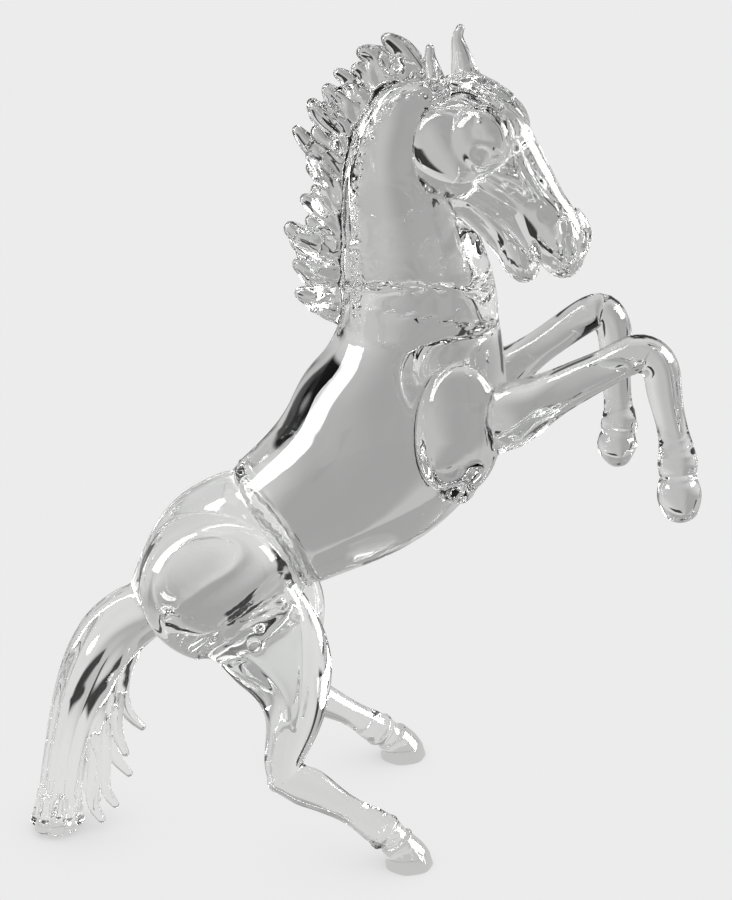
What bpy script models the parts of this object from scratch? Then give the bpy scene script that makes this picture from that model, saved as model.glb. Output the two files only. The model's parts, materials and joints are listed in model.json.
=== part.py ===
"""A rearing horse of solid clear glass, worked hot, standing by itself on its hind hooves and its tail.

Units are metres, +Z is up and +X is the way the horse faces, so its right side looks along -Y. The
origin is on the surface that it stands on, under the middle of the figure.

The whole horse is one fused piece of glass. Its gathers (trunk, neck, skull, haunches, limbs, locks of
mane and tail) are modelled one by one as smooth blanks, and a Boolean union fuses them into one solid.
Pose, proportions and carving are shares of the height: one unit U is a 420th of it, and every row
below is in that unit. A row of a gather is x, y, z, half its depth seen from the side, and half its
width seen from the front.
"""

import math

import bmesh
import bpy
import numpy as np
from mathutils import Matrix, Vector

HEIGHT = 0.420
U = HEIGHT / 420

# Where the figure's middle lies in the frame that the rows are written in
MIDDLE_X = -5.8
MIDDLE_Y = 0.0

# Finish of the glass, for the viewport and a plain render
GLASS_COLOUR = (0.93, 0.95, 0.95, 1.0)
GLASS_IOR = 1.5
GLASS_ROUGHNESS = 0.02

# Body
BARREL = (
    (28.0, 0.0, 281.0, 30.0, 23.0),
    (26.0, 0.0, 264.0, 41.5, 31.0),
    (22.0, 0.0, 239.0, 49.0, 36.5),
    (-3.0, 0.0, 197.0, 49.0, 36.5),
    (-27.0, 0.0, 178.5, 41.5, 33.0),
    (-42.0, 0.0, 169.0, 37.5, 31.5),
)
RUMP = (
    (-54.0, 0.0, 162.0, 36.5, 31.0),
    (-68.5, 0.0, 153.0, 38.0, 32.0),
    (-88.0, 0.0, 140.5, 32.0, 28.5),
    (-105.0, 0.0, 129.5, 19.0, 18.5),
)
NECK = (
    (26.4, -1.0, 262.0, 37.0, 26.0),
    (26.0, -2.0, 277.0, 38.6, 27.5),
    (21.8, -3.0, 306.6, 35.8, 24.0),
    (16.4, -4.0, 332.7, 30.6, 20.0),
    (12.6, -5.0, 354.4, 25.4, 17.0),
    (14.2, -6.0, 371.2, 21.8, 15.5),
    (21.2, -7.0, 384.6, 18.0, 14.0),
    (31.0, -8.0, 388.0, 13.0, 12.0),
)

# Haunch: a flattened ball of glass, pressed onto the rump on each side
HAUNCH_CENTRE = (-76.0, 20.0, 144.0)
LEFT_HAUNCH_MOVE = (9.0, 0.0, -8.0)
HAUNCH_RADIUS = 39.0
HAUNCH_HALF_WIDTH = 25.0

# Shoulder blade down to the elbow, seen as a disc on each side of the chest
SHOULDER = (
    (43.5, 27.0, 248.0, 15.0, 10.0),
    (46.5, 28.5, 233.0, 22.0, 13.5),
    (46.0, 29.0, 214.0, 21.0, 13.0),
    (42.0, 29.0, 196.0, 9.5, 9.0),
)

# Hind limbs, from the hip to the hock and from the hock to the hoof
HIND_THIGH = (
    (-66.0, 24.0, 137.0, 29.5, 15.0),
    (-53.0, 30.0, 119.5, 28.0, 15.5),
    (-42.5, 35.0, 101.0, 23.5, 13.5),
    (-39.5, 38.0, 87.0, 17.6, 11.5),
    (-40.4, 40.0, 73.9, 13.8, 10.0),
    (-44.0, 42.0, 60.9, 10.8, 9.0),
    (-46.0, 44.0, 50.6, 8.8, 8.2),
    (-45.6, 44.5, 44.5, 7.4, 7.4),
)
LEFT_HOCK_FORWARD = 11.0
HIND_CANNON_RIGHT = (
    (-48.5, -44.0, 45.5, 6.8, 6.8),
    (-37.4, -46.0, 43.2, 10.6, 7.8),
    (-24.0, -49.0, 36.6, 8.8, 7.2),
    (-8.0, -52.0, 26.8, 7.4, 6.9),
    (4.5, -54.0, 18.4, 9.0, 8.6),
    (11.0, -55.0, 12.8, 7.6, 7.4),
    (14.6, -55.5, 7.6, 8.4, 9.0),
)
HIND_CANNON_LEFT = (
    (-35.5, 43.0, 48.5, 6.8, 6.8),
    (-26.0, 45.0, 44.4, 9.0, 7.6),
    (-12.0, 48.0, 35.8, 7.8, 7.0),
    (1.0, 51.0, 26.2, 7.2, 6.9),
    (12.0, 53.5, 17.2, 8.6, 8.4),
    (18.8, 55.0, 11.8, 7.4, 7.4),
    (22.2, 55.5, 7.2, 8.4, 9.0),
)
HIND_HOOF = ((-4.6, 11.6, 8.6, 9.0), (-1.6, 6.8, 10.4, 10.6), (0.0, 1.6, 12.2, 12.0), (0.6, -2.4, 12.4, 12.2))
RIGHT_SOLE = (16.5, -56.0)
LEFT_SOLE = (24.4, 56.0)

# Forelimbs, folded in the air, from the shoulder to the toe
FORE_RIGHT = (
    (52.0, -27.0, 226.0, 15.0, 8.0),
    (69.0, -32.0, 236.5, 16.6, 13.0),
    (84.3, -33.0, 244.6, 12.4, 11.0),
    (101.0, -34.0, 253.6, 10.2, 9.5),
    (117.6, -35.0, 262.4, 9.2, 8.6),
    (130.5, -36.0, 267.0, 9.6, 8.8),
    (137.8, -36.0, 262.6, 9.2, 8.6),
    (141.6, -36.0, 250.4, 8.8, 8.0),
    (145.0, -36.0, 234.4, 7.6, 7.0),
    (148.8, -36.0, 218.3, 8.4, 7.5),
    (150.2, -36.0, 208.6, 10.2, 9.2),
    (150.7, -36.0, 201.2, 8.6, 8.6),
    (151.6, -36.0, 192.0, 11.0, 10.2),
    (153.4, -36.0, 181.5, 8.4, 8.2),
)
FORE_LEFT = (
    (50.0, 27.0, 219.0, 14.0, 8.0),
    (66.0, 30.0, 227.5, 15.0, 12.4),
    (80.4, 30.0, 238.0, 10.2, 10.0),
    (95.6, 31.0, 248.8, 8.3, 9.0),
    (111.0, 32.0, 259.2, 8.8, 8.5),
    (121.6, 33.0, 262.4, 9.0, 8.5),
    (127.2, 33.0, 255.4, 9.0, 8.5),
    (129.4, 33.0, 241.1, 8.0, 7.5),
    (130.7, 33.0, 221.8, 7.1, 7.0),
    (132.1, 33.0, 207.0, 8.0, 7.6),
    (132.5, 33.0, 200.0, 9.3, 9.0),
    (132.1, 33.0, 195.6, 8.4, 8.6),
    (131.8, 33.0, 189.4, 10.3, 10.0),
    (132.8, 33.0, 180.6, 6.4, 7.4),
)

# Head, in its own frame: forward, left and up from the middle of the cheek, turned to its right
HEAD_AT = (41.6, -10.0, 364.3)
HEAD_TURN = math.radians(-27.0)
SKULL = (
    (-9.0, 0.0, 19.0, 15.0, 12.0),
    (-3.0, 0.0, 14.0, 21.5, 15.5),
    (9.0, 0.0, 3.6, 27.6, 17.0),
    (21.5, 0.0, -7.2, 25.6, 16.0),
    (33.0, 0.0, -17.6, 20.2, 13.4),
    (42.0, 0.0, -27.4, 17.2, 11.6),
    (49.6, 0.0, -36.4, 16.0, 11.6),
    (54.6, 0.0, -44.6, 12.6, 11.4),
    (56.8, 0.0, -51.0, 8.6, 9.0),
)
JAW = (
    (-4.0, 0.0, -8.0, 12.0, 10.0),
    (9.0, 0.0, -21.0, 12.6, 11.0),
    (20.5, 0.0, -34.0, 9.6, 9.0),
    (29.0, 0.0, -45.0, 7.8, 8.2),
    (34.4, 0.0, -52.0, 8.6, 8.8),
    (38.0, 0.0, -57.0, 6.6, 7.4),
)
CHEEK_CENTRE = (-1.5, 9.5, 1.5)
CHEEK_RADIUS = 22.0
CHEEK_HALF_WIDTH = 10.5
BROW = ((13.0, 13.0, 17.0, 5.0, 3.4), (22.0, 14.8, 17.0, 5.6, 4.0), (29.0, 13.0, 9.0, 4.4, 3.4))
EYE_CENTRE = (20.5, 13.0, 5.0)
EYE_RADIUS = 4.8
FACE_RIDGE = ((10.0, 13.5, -7.0, 3.2, 3.0), (24.0, 13.6, -13.5, 3.0, 3.0), (36.0, 10.6, -21.5, 2.4, 2.4))
NOSTRIL_RIM = ((57.5, 7.0, -27.0, 4.0, 4.0), (61.0, 8.6, -36.0, 5.6, 5.0), (60.0, 7.6, -46.0, 4.4, 4.4))
NOSTRIL_HOLE = ((62.0, 11.0, -32.0, 2.6, 3.0), (63.4, 12.8, -38.0, 3.2, 3.4), (63.0, 12.0, -43.0, 2.4, 3.0))
MOUTH = ((41.5, 0.0, -39.5, 1.3, 22.0), (47.0, 0.0, -49.0, 1.7, 22.0), (50.5, 0.0, -62.0, 3.2, 22.0))
RIGHT_EAR = (
    (-3.0, -8.5, 27.0, 5.2, 4.2),
    (-5.2, -10.0, 36.0, 5.8, 4.6),
    (-7.4, -11.0, 43.0, 4.4, 3.6),
    (-8.6, -11.4, 48.5, 2.8, 2.4),
    (-8.8, -11.4, 52.5, 2.0, 1.9),
)
LEFT_EAR = (
    (3.0, 8.5, 27.0, 7.4, 4.6),
    (0.6, 10.5, 37.0, 6.8, 4.8),
    (-2.2, 11.8, 45.5, 4.6, 3.6),
    (-3.8, 12.0, 52.0, 2.6, 2.4),
    (-2.4, 12.0, 56.4, 2.0, 1.9),
)
EAR_HOLLOW_OFFSET = (4.6, 1.6, 1.5)
EAR_HOLLOW_SIZE = 0.5
FORELOCK_TIPS = ((26.0, -9.0, 27.0), (29.0, -3.0, 29.0), (27.0, 4.0, 28.0), (20.0, 10.0, 27.0))
FORELOCK_ROOT = (-3.0, 0.0, 33.0)
FORELOCK_RISE = 4.0
FORELOCK_RADIUS = 3.0

# Mane: flattened strands drawn out of the crest, each tip a place seen from the side
MANE_TIPS = (
    (7.4, 421.0), (-4.0, 415.0), (-15.6, 407.0), (-20.4, 397.6), (-27.6, 388.5), (-35.5, 378.0), (-28.5, 366.0),
    (-28.0, 356.0), (-32.0, 342.0), (-40.6, 328.5), (-37.6, 318.0), (-36.6, 306.0), (-36.0, 293.5), (-29.0, 283.0),
)
MANE_FIRST = 0.98
MANE_LAST = 0.20
MANE_HALF_DEPTH = 6.6
MANE_HALF_WIDTH = 4.2
MANE_SPLAY = 7.0
STRAND_TIP = 0.6
MANE_LIFT = 2.5
MANE_INSET = 4.0
CREST_STEPS = 200
MANE_BED_DEPTH = 8.0
MANE_BED_WIDTH = 6.0

# Tail: one thick gather that runs down to a pressed foot, with thin free strands on its inner side
TAIL = (
    (-100.0, 0.0, 126.0, 13.0, 13.0),
    (-112.0, 0.0, 121.5, 15.6, 14.0),
    (-126.0, -1.0, 112.0, 17.2, 13.6),
    (-139.0, -2.0, 92.6, 17.0, 12.8),
    (-149.0, -3.0, 68.4, 14.0, 11.8),
    (-155.0, -4.0, 44.0, 12.4, 11.0),
    (-158.6, -4.5, 21.7, 11.8, 11.0),
    (-160.2, -5.0, 7.0, 12.6, 12.4),
    (-160.8, -5.0, -3.0, 14.6, 14.0),
)
TAIL_STRANDS = (
    (0.36, (-127.5, -5.0, 72.0), (-124.5, -7.0, 44.0)),
    (0.33, (-125.0, 3.0, 74.0), (-115.5, 5.0, 52.0)),
    (0.48, (-132.5, 4.0, 50.0), (-123.0, 6.0, 24.5)),
    (0.54, (-135.5, -5.0, 36.0), (-130.8, -6.0, 13.5)),
    (0.62, (-141.0, -8.0, 28.0), (-138.0, -11.0, 8.0)),
    (0.66, (-144.0, 7.0, 26.0), (-140.0, 11.0, 7.0)),
)
STRAND_HALF_DEPTH = 4.2
STRAND_HALF_WIDTH = 3.6

# How finely the blanks are faceted
BODY_SIDES = 18
LIMB_SIDES = 10
LOCK_SIDES = 6
DOME_STEPS = (40, 75)


def clear_scene():
    for thing in list(bpy.data.objects):
        bpy.data.objects.remove(thing, do_unlink=True)


def new_collection(name):
    collection = bpy.data.collections.new(name)
    bpy.context.scene.collection.children.link(collection)
    return collection


def make_glass():
    glass = bpy.data.materials.new("clear_glass")
    glass.use_nodes = True
    shader = glass.node_tree.nodes["Principled BSDF"]
    shader.inputs["Base Color"].default_value = GLASS_COLOUR
    shader.inputs["Roughness"].default_value = GLASS_ROUGHNESS
    shader.inputs["Metallic"].default_value = 0.0
    shader.inputs["IOR"].default_value = GLASS_IOR
    shader.inputs["Transmission Weight"].default_value = 1.0
    return glass


def add_object(name, bm, collection, glass, parent):
    """A smooth closed mesh object made of bm, under the parent empty."""
    bmesh.ops.recalc_face_normals(bm, faces=bm.faces)
    mesh = bpy.data.meshes.new(name)
    bm.to_mesh(mesh)
    bm.free()
    mesh.materials.append(glass)
    mesh.shade_smooth()
    thing = bpy.data.objects.new(name, mesh)
    thing.parent = parent
    collection.objects.link(thing)
    return thing


def spline(rows, count):
    """The rows' natural cubic spline, as count rows evenly spaced along it, and its unit tangents."""
    rows = np.array(rows, dtype=float)
    gaps = np.linalg.norm(np.diff(rows[:, :3], axis=0), axis=1)
    knots = np.concatenate(([0.0], np.cumsum(gaps)))
    system = np.eye(len(rows))
    right = np.zeros_like(rows)
    for k in range(1, len(rows) - 1):
        before, after = gaps[k - 1], gaps[k]
        system[k, k - 1:k + 2] = (before, 2 * (before + after), after)
        right[k] = 6 * ((rows[k + 1] - rows[k]) / after - (rows[k] - rows[k - 1]) / before)
    bend = np.linalg.solve(system, right)
    places = np.linspace(0.0, knots[-1], count)
    spans = np.clip(np.searchsorted(knots, places, side="right") - 1, 0, len(gaps) - 1)
    points = []
    tangents = []
    for place, k in zip(places, spans):
        gap = gaps[k]
        b = (place - knots[k]) / gap
        a = 1 - b
        points.append(
            a * rows[k] + b * rows[k + 1] + ((a**3 - a) * bend[k] + (b**3 - b) * bend[k + 1]) * gap**2 / 6
        )
        slope = (rows[k + 1] - rows[k]) / gap
        slope += ((3 * b**2 - 1) * bend[k + 1] - (3 * a**2 - 1) * bend[k]) * gap / 6
        tangents.append(slope[:3] / np.linalg.norm(slope[:3]))
    return points, tangents


def round_off(points, tangents, start, end):
    """The path with a dome at each end, which reaches start and end times the half depth past it."""
    points = list(points)
    tangents = list(tangents)
    for reach, at, sign in ((start, 0, -1), (end, -1, 1)):
        base = points[at]
        along = tangents[at]
        dome = []
        for degrees in DOME_STEPS:
            angle = math.radians(degrees)
            ring = base.copy()
            ring[:3] += sign * along * reach * base[3] * math.sin(angle)
            ring[3:] *= math.cos(angle)
            dome.append(ring)
        if at == 0:
            points = dome[::-1] + points
            tangents = [along] * len(dome) + tangents
        else:
            points = points + dome
            tangents = tangents + [along] * len(dome)
    return points, tangents


def loft(rows, sides, rings, ends=(0.7, 0.7)):
    """A closed bmesh: ellipses along the rows' spline, bridged, with a dome at each end.

    A ring of few sides is made a little larger, so that its facets straddle the round surface.
    """
    points, tangents = round_off(*spline(rows, rings), *ends)
    fullness = 2 / (1 + math.cos(math.pi / sides))
    bm = bmesh.new()
    loops = []
    for point, tangent in zip(points, tangents):
        along = Vector(tangent)
        across = (Vector((0, 1, 0)) - along * along.y).normalized()
        above = along.cross(across)
        deep, wide = point[3] * U * fullness, point[4] * U * fullness
        turn = Matrix((above * deep, across * wide, along)).transposed().to_4x4()
        place = Matrix.Translation(Vector(point[:3]) * U) @ turn
        ring = bmesh.ops.create_circle(bm, segments=sides, radius=1.0, matrix=place)["verts"]
        loops.append(list({edge for vert in ring for edge in vert.link_edges}))
    for near, far in zip(loops, loops[1:]):
        bmesh.ops.bridge_loops(bm, edges=near + far)
    for loop in (loops[0], loops[-1]):
        bmesh.ops.contextual_create(bm, geom=loop)
    return bm


def ball(centre, radii, sides):
    """A closed bmesh: a ball with its own half size along each axis."""
    bm = bmesh.new()
    place = Matrix.Translation(Vector(centre) * U) @ Matrix.Diagonal((*(r * U for r in radii), 1.0))
    bmesh.ops.create_uvsphere(bm, u_segments=sides, v_segments=sides // 2, radius=1.0, matrix=place)
    return bm


def on_side(rows, side):
    """The rows, written for the left side, moved to side: 1 is left and -1 is right."""
    return [(row[0], side * row[1], *row[2:]) for row in rows]


def hind_thigh(side):
    """The left hock stands further forward than the right one."""
    rows = on_side(HIND_THIGH, side)
    if side < 0:
        return rows
    steps = len(rows) - 1
    return [(row[0] + LEFT_HOCK_FORWARD * (k / steps) ** 1.5, *row[1:]) for k, row in enumerate(rows)]


def hind_hoof(sole):
    """A bell that widens towards the sole."""
    return [(sole[0] + lean, sole[1], up, deep, wide) for lean, up, deep, wide in HIND_HOOF]


def ear_hollow(ear, side):
    """The scoop in an ear's front: its middle rows, moved forward and out, and made smaller."""
    forward, out, up = EAR_HOLLOW_OFFSET
    return [
        (row[0] + forward, row[1] + side * out, row[2] + up, row[3] * EAR_HOLLOW_SIZE, row[4] * EAR_HOLLOW_SIZE)
        for row in ear[1:4]
    ]


def crest_point(share):
    """A place just inside the neck's crest, at a share of the way from its foot to the poll."""
    points, tangents = spline(NECK, CREST_STEPS)
    at = round(share * (CREST_STEPS - 1))
    back = Vector((-tangents[at][2], 0, tangents[at][0])).normalized()
    return Vector(points[at][:3]) + back * (points[at][3] - MANE_INSET)


def mane_strand(crest, number, tip_x, tip_z):
    """A flattened strand from inside the crest, lifted a little on its way, to a rounded tip."""
    half_depth = MANE_HALF_DEPTH * (1 + 0.16 * math.sin(2.3 * number))
    splay = MANE_SPLAY * math.sin(1.9 * number + 0.6)
    root = Vector(crest)
    tip = Vector((tip_x, root.y + splay, tip_z))
    tip -= (tip - root).normalized() * half_depth * STRAND_TIP
    middle = root.lerp(tip, 0.55) + Vector((0, 0.3 * splay, MANE_LIFT))
    return (
        (*root, half_depth * 1.2, MANE_HALF_WIDTH * 1.5),
        (*middle, half_depth, MANE_HALF_WIDTH * 1.1),
        (*tip, half_depth * STRAND_TIP, MANE_HALF_WIDTH * 0.8),
    )


def build_horse():
    clear_scene()
    parts = new_collection("glass_horse")
    gathers = new_collection("gathers")
    cutters = new_collection("cutters")
    glass = make_glass()

    stand = bpy.data.objects.new("stand", None)
    parts.objects.link(stand)
    stand.location = Vector((-MIDDLE_X, -MIDDLE_Y, 0)) * U
    head = bpy.data.objects.new("head_turn", None)
    parts.objects.link(head)
    head.parent = stand
    head.location = Vector(HEAD_AT) * U
    head.rotation_euler = (0, 0, HEAD_TURN)

    def gather(name, bm, parent=stand):
        blank = add_object(name, bm, gathers, glass, parent)
        blank.hide_render = True
        blank.display_type = "WIRE"

    def cutter(name, bm, parent=stand):
        tool = add_object(name, bm, cutters, glass, parent)
        tool.hide_render = True
        tool.display_type = "WIRE"

    horse = add_object("horse", loft(BARREL, BODY_SIDES, 12, (0.5, 0.5)), parts, glass, stand)
    gather("rump", loft(RUMP, BODY_SIDES, 6, (0.5, 0.5)))
    gather("neck", loft(NECK, BODY_SIDES, 11, (0.4, 0.6)))

    # Limbs
    for name, side, cannon, sole, fore in (
        ("right", -1, HIND_CANNON_RIGHT, RIGHT_SOLE, FORE_RIGHT),
        ("left", 1, HIND_CANNON_LEFT, LEFT_SOLE, FORE_LEFT),
    ):
        haunch_at = Vector((HAUNCH_CENTRE[0], side * HAUNCH_CENTRE[1], HAUNCH_CENTRE[2]))
        if name == "left":
            haunch_at += Vector(LEFT_HAUNCH_MOVE)
        gather(name + "_haunch", ball(haunch_at, (HAUNCH_RADIUS, HAUNCH_HALF_WIDTH, HAUNCH_RADIUS), BODY_SIDES))
        gather(name + "_shoulder", loft(on_side(SHOULDER, side), LIMB_SIDES + 2, 6, (0.5, 0.9)))
        gather(name + "_thigh", loft(hind_thigh(side), LIMB_SIDES, 10, (0.3, 0.5)))
        gather(name + "_hind_cannon", loft(cannon, LIMB_SIDES, 11, (0.8, 0.4)))
        gather(name + "_hind_hoof", loft(hind_hoof(sole), LIMB_SIDES + 2, 4, (0.3, 0.1)))
        gather(name + "_foreleg", loft(fore, LIMB_SIDES, 22, (0.3, 0.5)))

    # Head
    gather("skull", loft(SKULL, BODY_SIDES - 4, 9, (0.5, 0.6)), head)
    gather("jaw", loft(JAW, LIMB_SIDES, 7, (0.5, 0.6)), head)
    cutter("mouth", loft(MOUTH, LOCK_SIDES, 4, (0.8, 0.4)), head)
    for name, side, ear in (("right", -1, RIGHT_EAR), ("left", 1, LEFT_EAR)):
        cheek_at = (CHEEK_CENTRE[0], side * CHEEK_CENTRE[1], CHEEK_CENTRE[2])
        gather(name + "_cheek", ball(cheek_at, (CHEEK_RADIUS, CHEEK_HALF_WIDTH, CHEEK_RADIUS), 16), head)
        eye_at = (EYE_CENTRE[0], side * EYE_CENTRE[1], EYE_CENTRE[2])
        gather(name + "_eye", ball(eye_at, (EYE_RADIUS,) * 3, 8), head)
        gather(name + "_brow", loft(on_side(BROW, side), LOCK_SIDES, 5), head)
        gather(name + "_face_ridge", loft(on_side(FACE_RIDGE, side), LOCK_SIDES, 5), head)
        gather(name + "_nostril", loft(on_side(NOSTRIL_RIM, side), LOCK_SIDES, 5), head)
        cutter(name + "_nostril_hole", loft(on_side(NOSTRIL_HOLE, side), LOCK_SIDES, 4), head)
        gather(name + "_ear", loft(ear, LOCK_SIDES, 6, (0.4, 0.9)), head)
        cutter(name + "_ear_hollow", loft(ear_hollow(ear, side), LOCK_SIDES, 4), head)
    for number, tip in enumerate(FORELOCK_TIPS):
        middle = (Vector(FORELOCK_ROOT) + Vector(tip)) / 2 + Vector((0, 0.2 * tip[1], FORELOCK_RISE))
        rows = (
            (*FORELOCK_ROOT, FORELOCK_RADIUS * 1.3, FORELOCK_RADIUS * 1.3),
            (*middle, FORELOCK_RADIUS * 1.1, FORELOCK_RADIUS * 1.3),
            (*tip, FORELOCK_RADIUS * 0.7, FORELOCK_RADIUS * 0.8),
        )
        gather(f"forelock_{number + 1}", loft(rows, LOCK_SIDES, 4), head)

    # Mane
    strands = len(MANE_TIPS)
    crest = [crest_point(MANE_FIRST + (MANE_LAST - MANE_FIRST) * k / (strands - 1)) for k in range(strands)]
    bed = [(*root, MANE_BED_DEPTH, MANE_BED_WIDTH) for root in crest]
    gather("mane_bed", loft(bed, LIMB_SIDES, 8, (0.6, 0.6)))
    for number, (root, tip) in enumerate(zip(crest, MANE_TIPS)):
        gather(f"mane_{number + 1}", loft(mane_strand(root, number, *tip), LOCK_SIDES, 4, (0.4, 0.9)))

    # Tail
    gather("tail", loft(TAIL, LIMB_SIDES + 4, 16, (0.4, 0.1)))
    core = spline(TAIL, 60)[0]
    for number, (share, middle, tip) in enumerate(TAIL_STRANDS):
        root = core[round(share * (len(core) - 1))][:3]
        rows = (
            (*root, STRAND_HALF_DEPTH * 1.6, STRAND_HALF_WIDTH * 1.6),
            (*middle, STRAND_HALF_DEPTH, STRAND_HALF_WIDTH),
            (*tip, STRAND_HALF_DEPTH * 0.62, STRAND_HALF_WIDTH * 0.62),
        )
        gather(f"tail_strand_{number + 1}", loft(rows, LOCK_SIDES, 6, (0.4, 0.9)))

    # The flat plate that the hooves and the tail's foot were pressed on
    floor = bmesh.new()
    floor_size = Matrix.Diagonal((HEIGHT * 2, HEIGHT * 2, HEIGHT * 0.2, 1.0))
    floor_place = Matrix.Translation((0, 0, -HEIGHT * 0.1))
    bmesh.ops.create_cube(floor, size=1.0, matrix=floor_place @ floor_size)
    cutter("floor", floor)

    for name, operation, operands in (("fuse", "UNION", gathers), ("carve", "DIFFERENCE", cutters)):
        boolean = horse.modifiers.new(name, "BOOLEAN")
        boolean.operation = operation
        boolean.solver = "EXACT"
        boolean.operand_type = "COLLECTION"
        boolean.collection = operands


build_horse()
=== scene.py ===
"""Looks of a rearing horse of solid clear glass: the fire-polished skin, the drawn strands of mane and tail,
the pinched seams between gathers, and a pale studio. Metres, +Z up, +X the way the horse faces."""

import json
import math

import bmesh
import bpy
import numpy as np
from mathutils import Matrix, Vector
from mathutils.bvhtree import BVHTree

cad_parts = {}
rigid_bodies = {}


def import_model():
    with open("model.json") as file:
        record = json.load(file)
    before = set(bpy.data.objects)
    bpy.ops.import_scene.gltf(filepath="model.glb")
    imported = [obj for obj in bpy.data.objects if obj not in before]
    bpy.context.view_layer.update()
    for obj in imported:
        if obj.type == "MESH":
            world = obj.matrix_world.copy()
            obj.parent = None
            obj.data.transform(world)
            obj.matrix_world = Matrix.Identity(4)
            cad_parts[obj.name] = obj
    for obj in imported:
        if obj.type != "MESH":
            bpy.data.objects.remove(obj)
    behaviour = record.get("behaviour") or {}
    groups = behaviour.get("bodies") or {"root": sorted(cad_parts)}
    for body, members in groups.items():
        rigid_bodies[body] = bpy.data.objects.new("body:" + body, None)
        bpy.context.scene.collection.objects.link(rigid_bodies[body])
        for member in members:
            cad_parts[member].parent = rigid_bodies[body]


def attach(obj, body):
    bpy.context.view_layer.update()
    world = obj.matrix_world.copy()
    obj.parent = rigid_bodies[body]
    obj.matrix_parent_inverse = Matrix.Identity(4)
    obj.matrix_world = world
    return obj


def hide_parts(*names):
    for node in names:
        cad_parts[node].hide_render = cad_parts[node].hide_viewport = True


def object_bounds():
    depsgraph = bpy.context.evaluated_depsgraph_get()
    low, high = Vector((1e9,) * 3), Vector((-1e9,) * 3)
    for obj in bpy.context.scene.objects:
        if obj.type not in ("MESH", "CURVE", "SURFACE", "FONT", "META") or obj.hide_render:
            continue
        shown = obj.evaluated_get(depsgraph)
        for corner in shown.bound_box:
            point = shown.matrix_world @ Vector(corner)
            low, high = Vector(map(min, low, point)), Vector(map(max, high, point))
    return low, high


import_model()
cad_low, cad_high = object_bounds()
scene = bpy.context.scene

# Studio
# A pale floor and backdrop without a seam, and round the figure what its glass bends into view: a grey card
# before and behind, a white panel past the tail and one past the nose, and black between them for the dark
# edges. A small dark flag and dark strips on the table draw the black strokes inside the glass. Round the
# feet a contact shadow is painted into the floor's glow, both for the camera and for light that meets the
# glass.
CARD_GREY = 0.355
CARD_PALE = 0.50
CARD_PALER = 0.16
CARD_TURN = (0.95, 0.70)
CARD_EDGE = (0.50, 0.60)
CARD_TOP = (0.50, 0.90)
CARD_TOP_SHARE = 0.5
ROOM_BLACK = 0.008
LIGHT_COLOUR = (1.0, 1.0, 0.99, 1.0)
PANEL_LIGHT = 14.0
TAIL_PANEL = ((-0.42, 0.10, 0.015), (0.06, 0.93, 0.015))
NOSE_PANEL = ((-0.42, 0.42, 0.015), (0.06, 0.55, 0.015))
PANEL_SPLIT = 0.01
ROOM_FLAG = ((-0.04, 0.17, 0.02), (0.25, 0.39, 0.02))
ROOM_FLAG_DEEP = (0.0, 0.1)
OVERHEAD_EDGE = (0.90, 0.92)
OVERHEAD_LIGHT = 1.0
TABLE_PALE = 0.66
TABLE_TAIL_PALE = 0.74
TABLE_TAIL_TURN = (-0.12, -0.02)
TABLE_EDGE = (0.17, 0.37)
TABLE_GREY_TURN = (0.09, 0.24)
TABLE_PALER_TURN = (0.30, 0.80)
TABLE_BEHIND_TURN = (-0.05, -0.25)
TAIL_STRIP = ((-0.105, -0.05, 0.015), (0.13, 0.36, 0.02))
TAIL_STRIP_LEAN = 0.41
CREASE_STRIP = ((-0.045, 0.028, 0.01), (0.44, 1.15, 0.02))
CREASE_STRIP_LEAN = 0.22
KNEE_STRIP = ((0.15, 0.21, 0.015), (-0.09, 0.08, 0.02))
BROW_STRIP = ((-0.62, -0.32, 0.02), (-0.12, 0.0, 0.02))
CHEEK_STRIP = ((0.34, 1.05, 0.1), (1.1, 2.2, 0.1))
BACK_STRIP = (0.70, 0.82, 0.03)
BACK_STRIP_START = (0.25, 0.28)
BACK_STRIP_AHEAD = (0.3, 0.34)
# Painted shade: the table that the glass bends into view is darkened by ambient occlusion under the hooves
# and the tail's foot.
TABLE_SHADE = 0.8
TABLE_SHADE_REACH = 0.02
TABLE_SHADE_OPEN = 0.8
PALE = 0.838
FLOOR_HALF = 14.0
# Painted contact shadow: the glowing floor that the camera sees is darkened by ambient occlusion round the
# feet.
FLOOR_SHADE = 0.30
FLOOR_SHADE_REACH = 0.06
AXIS_GAP = 0.001
scene.view_settings.view_transform = "Standard"


def math_node(tree, operation, first, second=None):
    """A Math node fed by sockets or plain numbers, as its output socket."""
    node = tree.nodes.new("ShaderNodeMath")
    node.operation = operation
    for socket, value in zip(node.inputs, (first, second)):
        if value is None:
            continue
        if isinstance(value, (int, float)):
            socket.default_value = value
        else:
            tree.links.new(value, socket)
    return node.outputs[0]


def ramp_node(tree, value, start, end, low=0.0, high=1.0):
    """low up to start and high from end on, with a smooth change between, also where end is the lesser."""
    node = tree.nodes.new("ShaderNodeMapRange")
    node.interpolation_type = "SMOOTHSTEP"
    if end < start:
        start, end, low, high = end, start, high, low
    for name, number in (("From Min", start), ("From Max", end), ("To Min", low), ("To Max", high)):
        node.inputs[name].default_value = number
    tree.links.new(value, node.inputs["Value"])
    return node.outputs["Result"]


def band_node(tree, value, low, high, soft):
    """1 between low and high, with soft edges."""
    rise = ramp_node(tree, value, low, low + soft)
    fall = ramp_node(tree, value, high - soft, high, 1.0, 0.0)
    return math_node(tree, "MULTIPLY", rise, fall)


def patch_node(tree, wide, tall, patch):
    """1 inside a patch, which gives its low edge, high edge and softness along each of two ways."""
    return math_node(tree, "MULTIPLY", band_node(tree, wide, *patch[0]), band_node(tree, tall, *patch[1]))


def mix_number(tree, share, first, second):
    """first where share is 0 and second where it is 1."""
    node = tree.nodes.new("ShaderNodeMix")
    tree.links.new(share, node.inputs["Factor"])
    for socket, value in ((node.inputs["A"], first), (node.inputs["B"], second)):
        if isinstance(value, (int, float)):
            socket.default_value = value
        else:
            tree.links.new(value, socket)
    return node.outputs["Result"]


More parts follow.
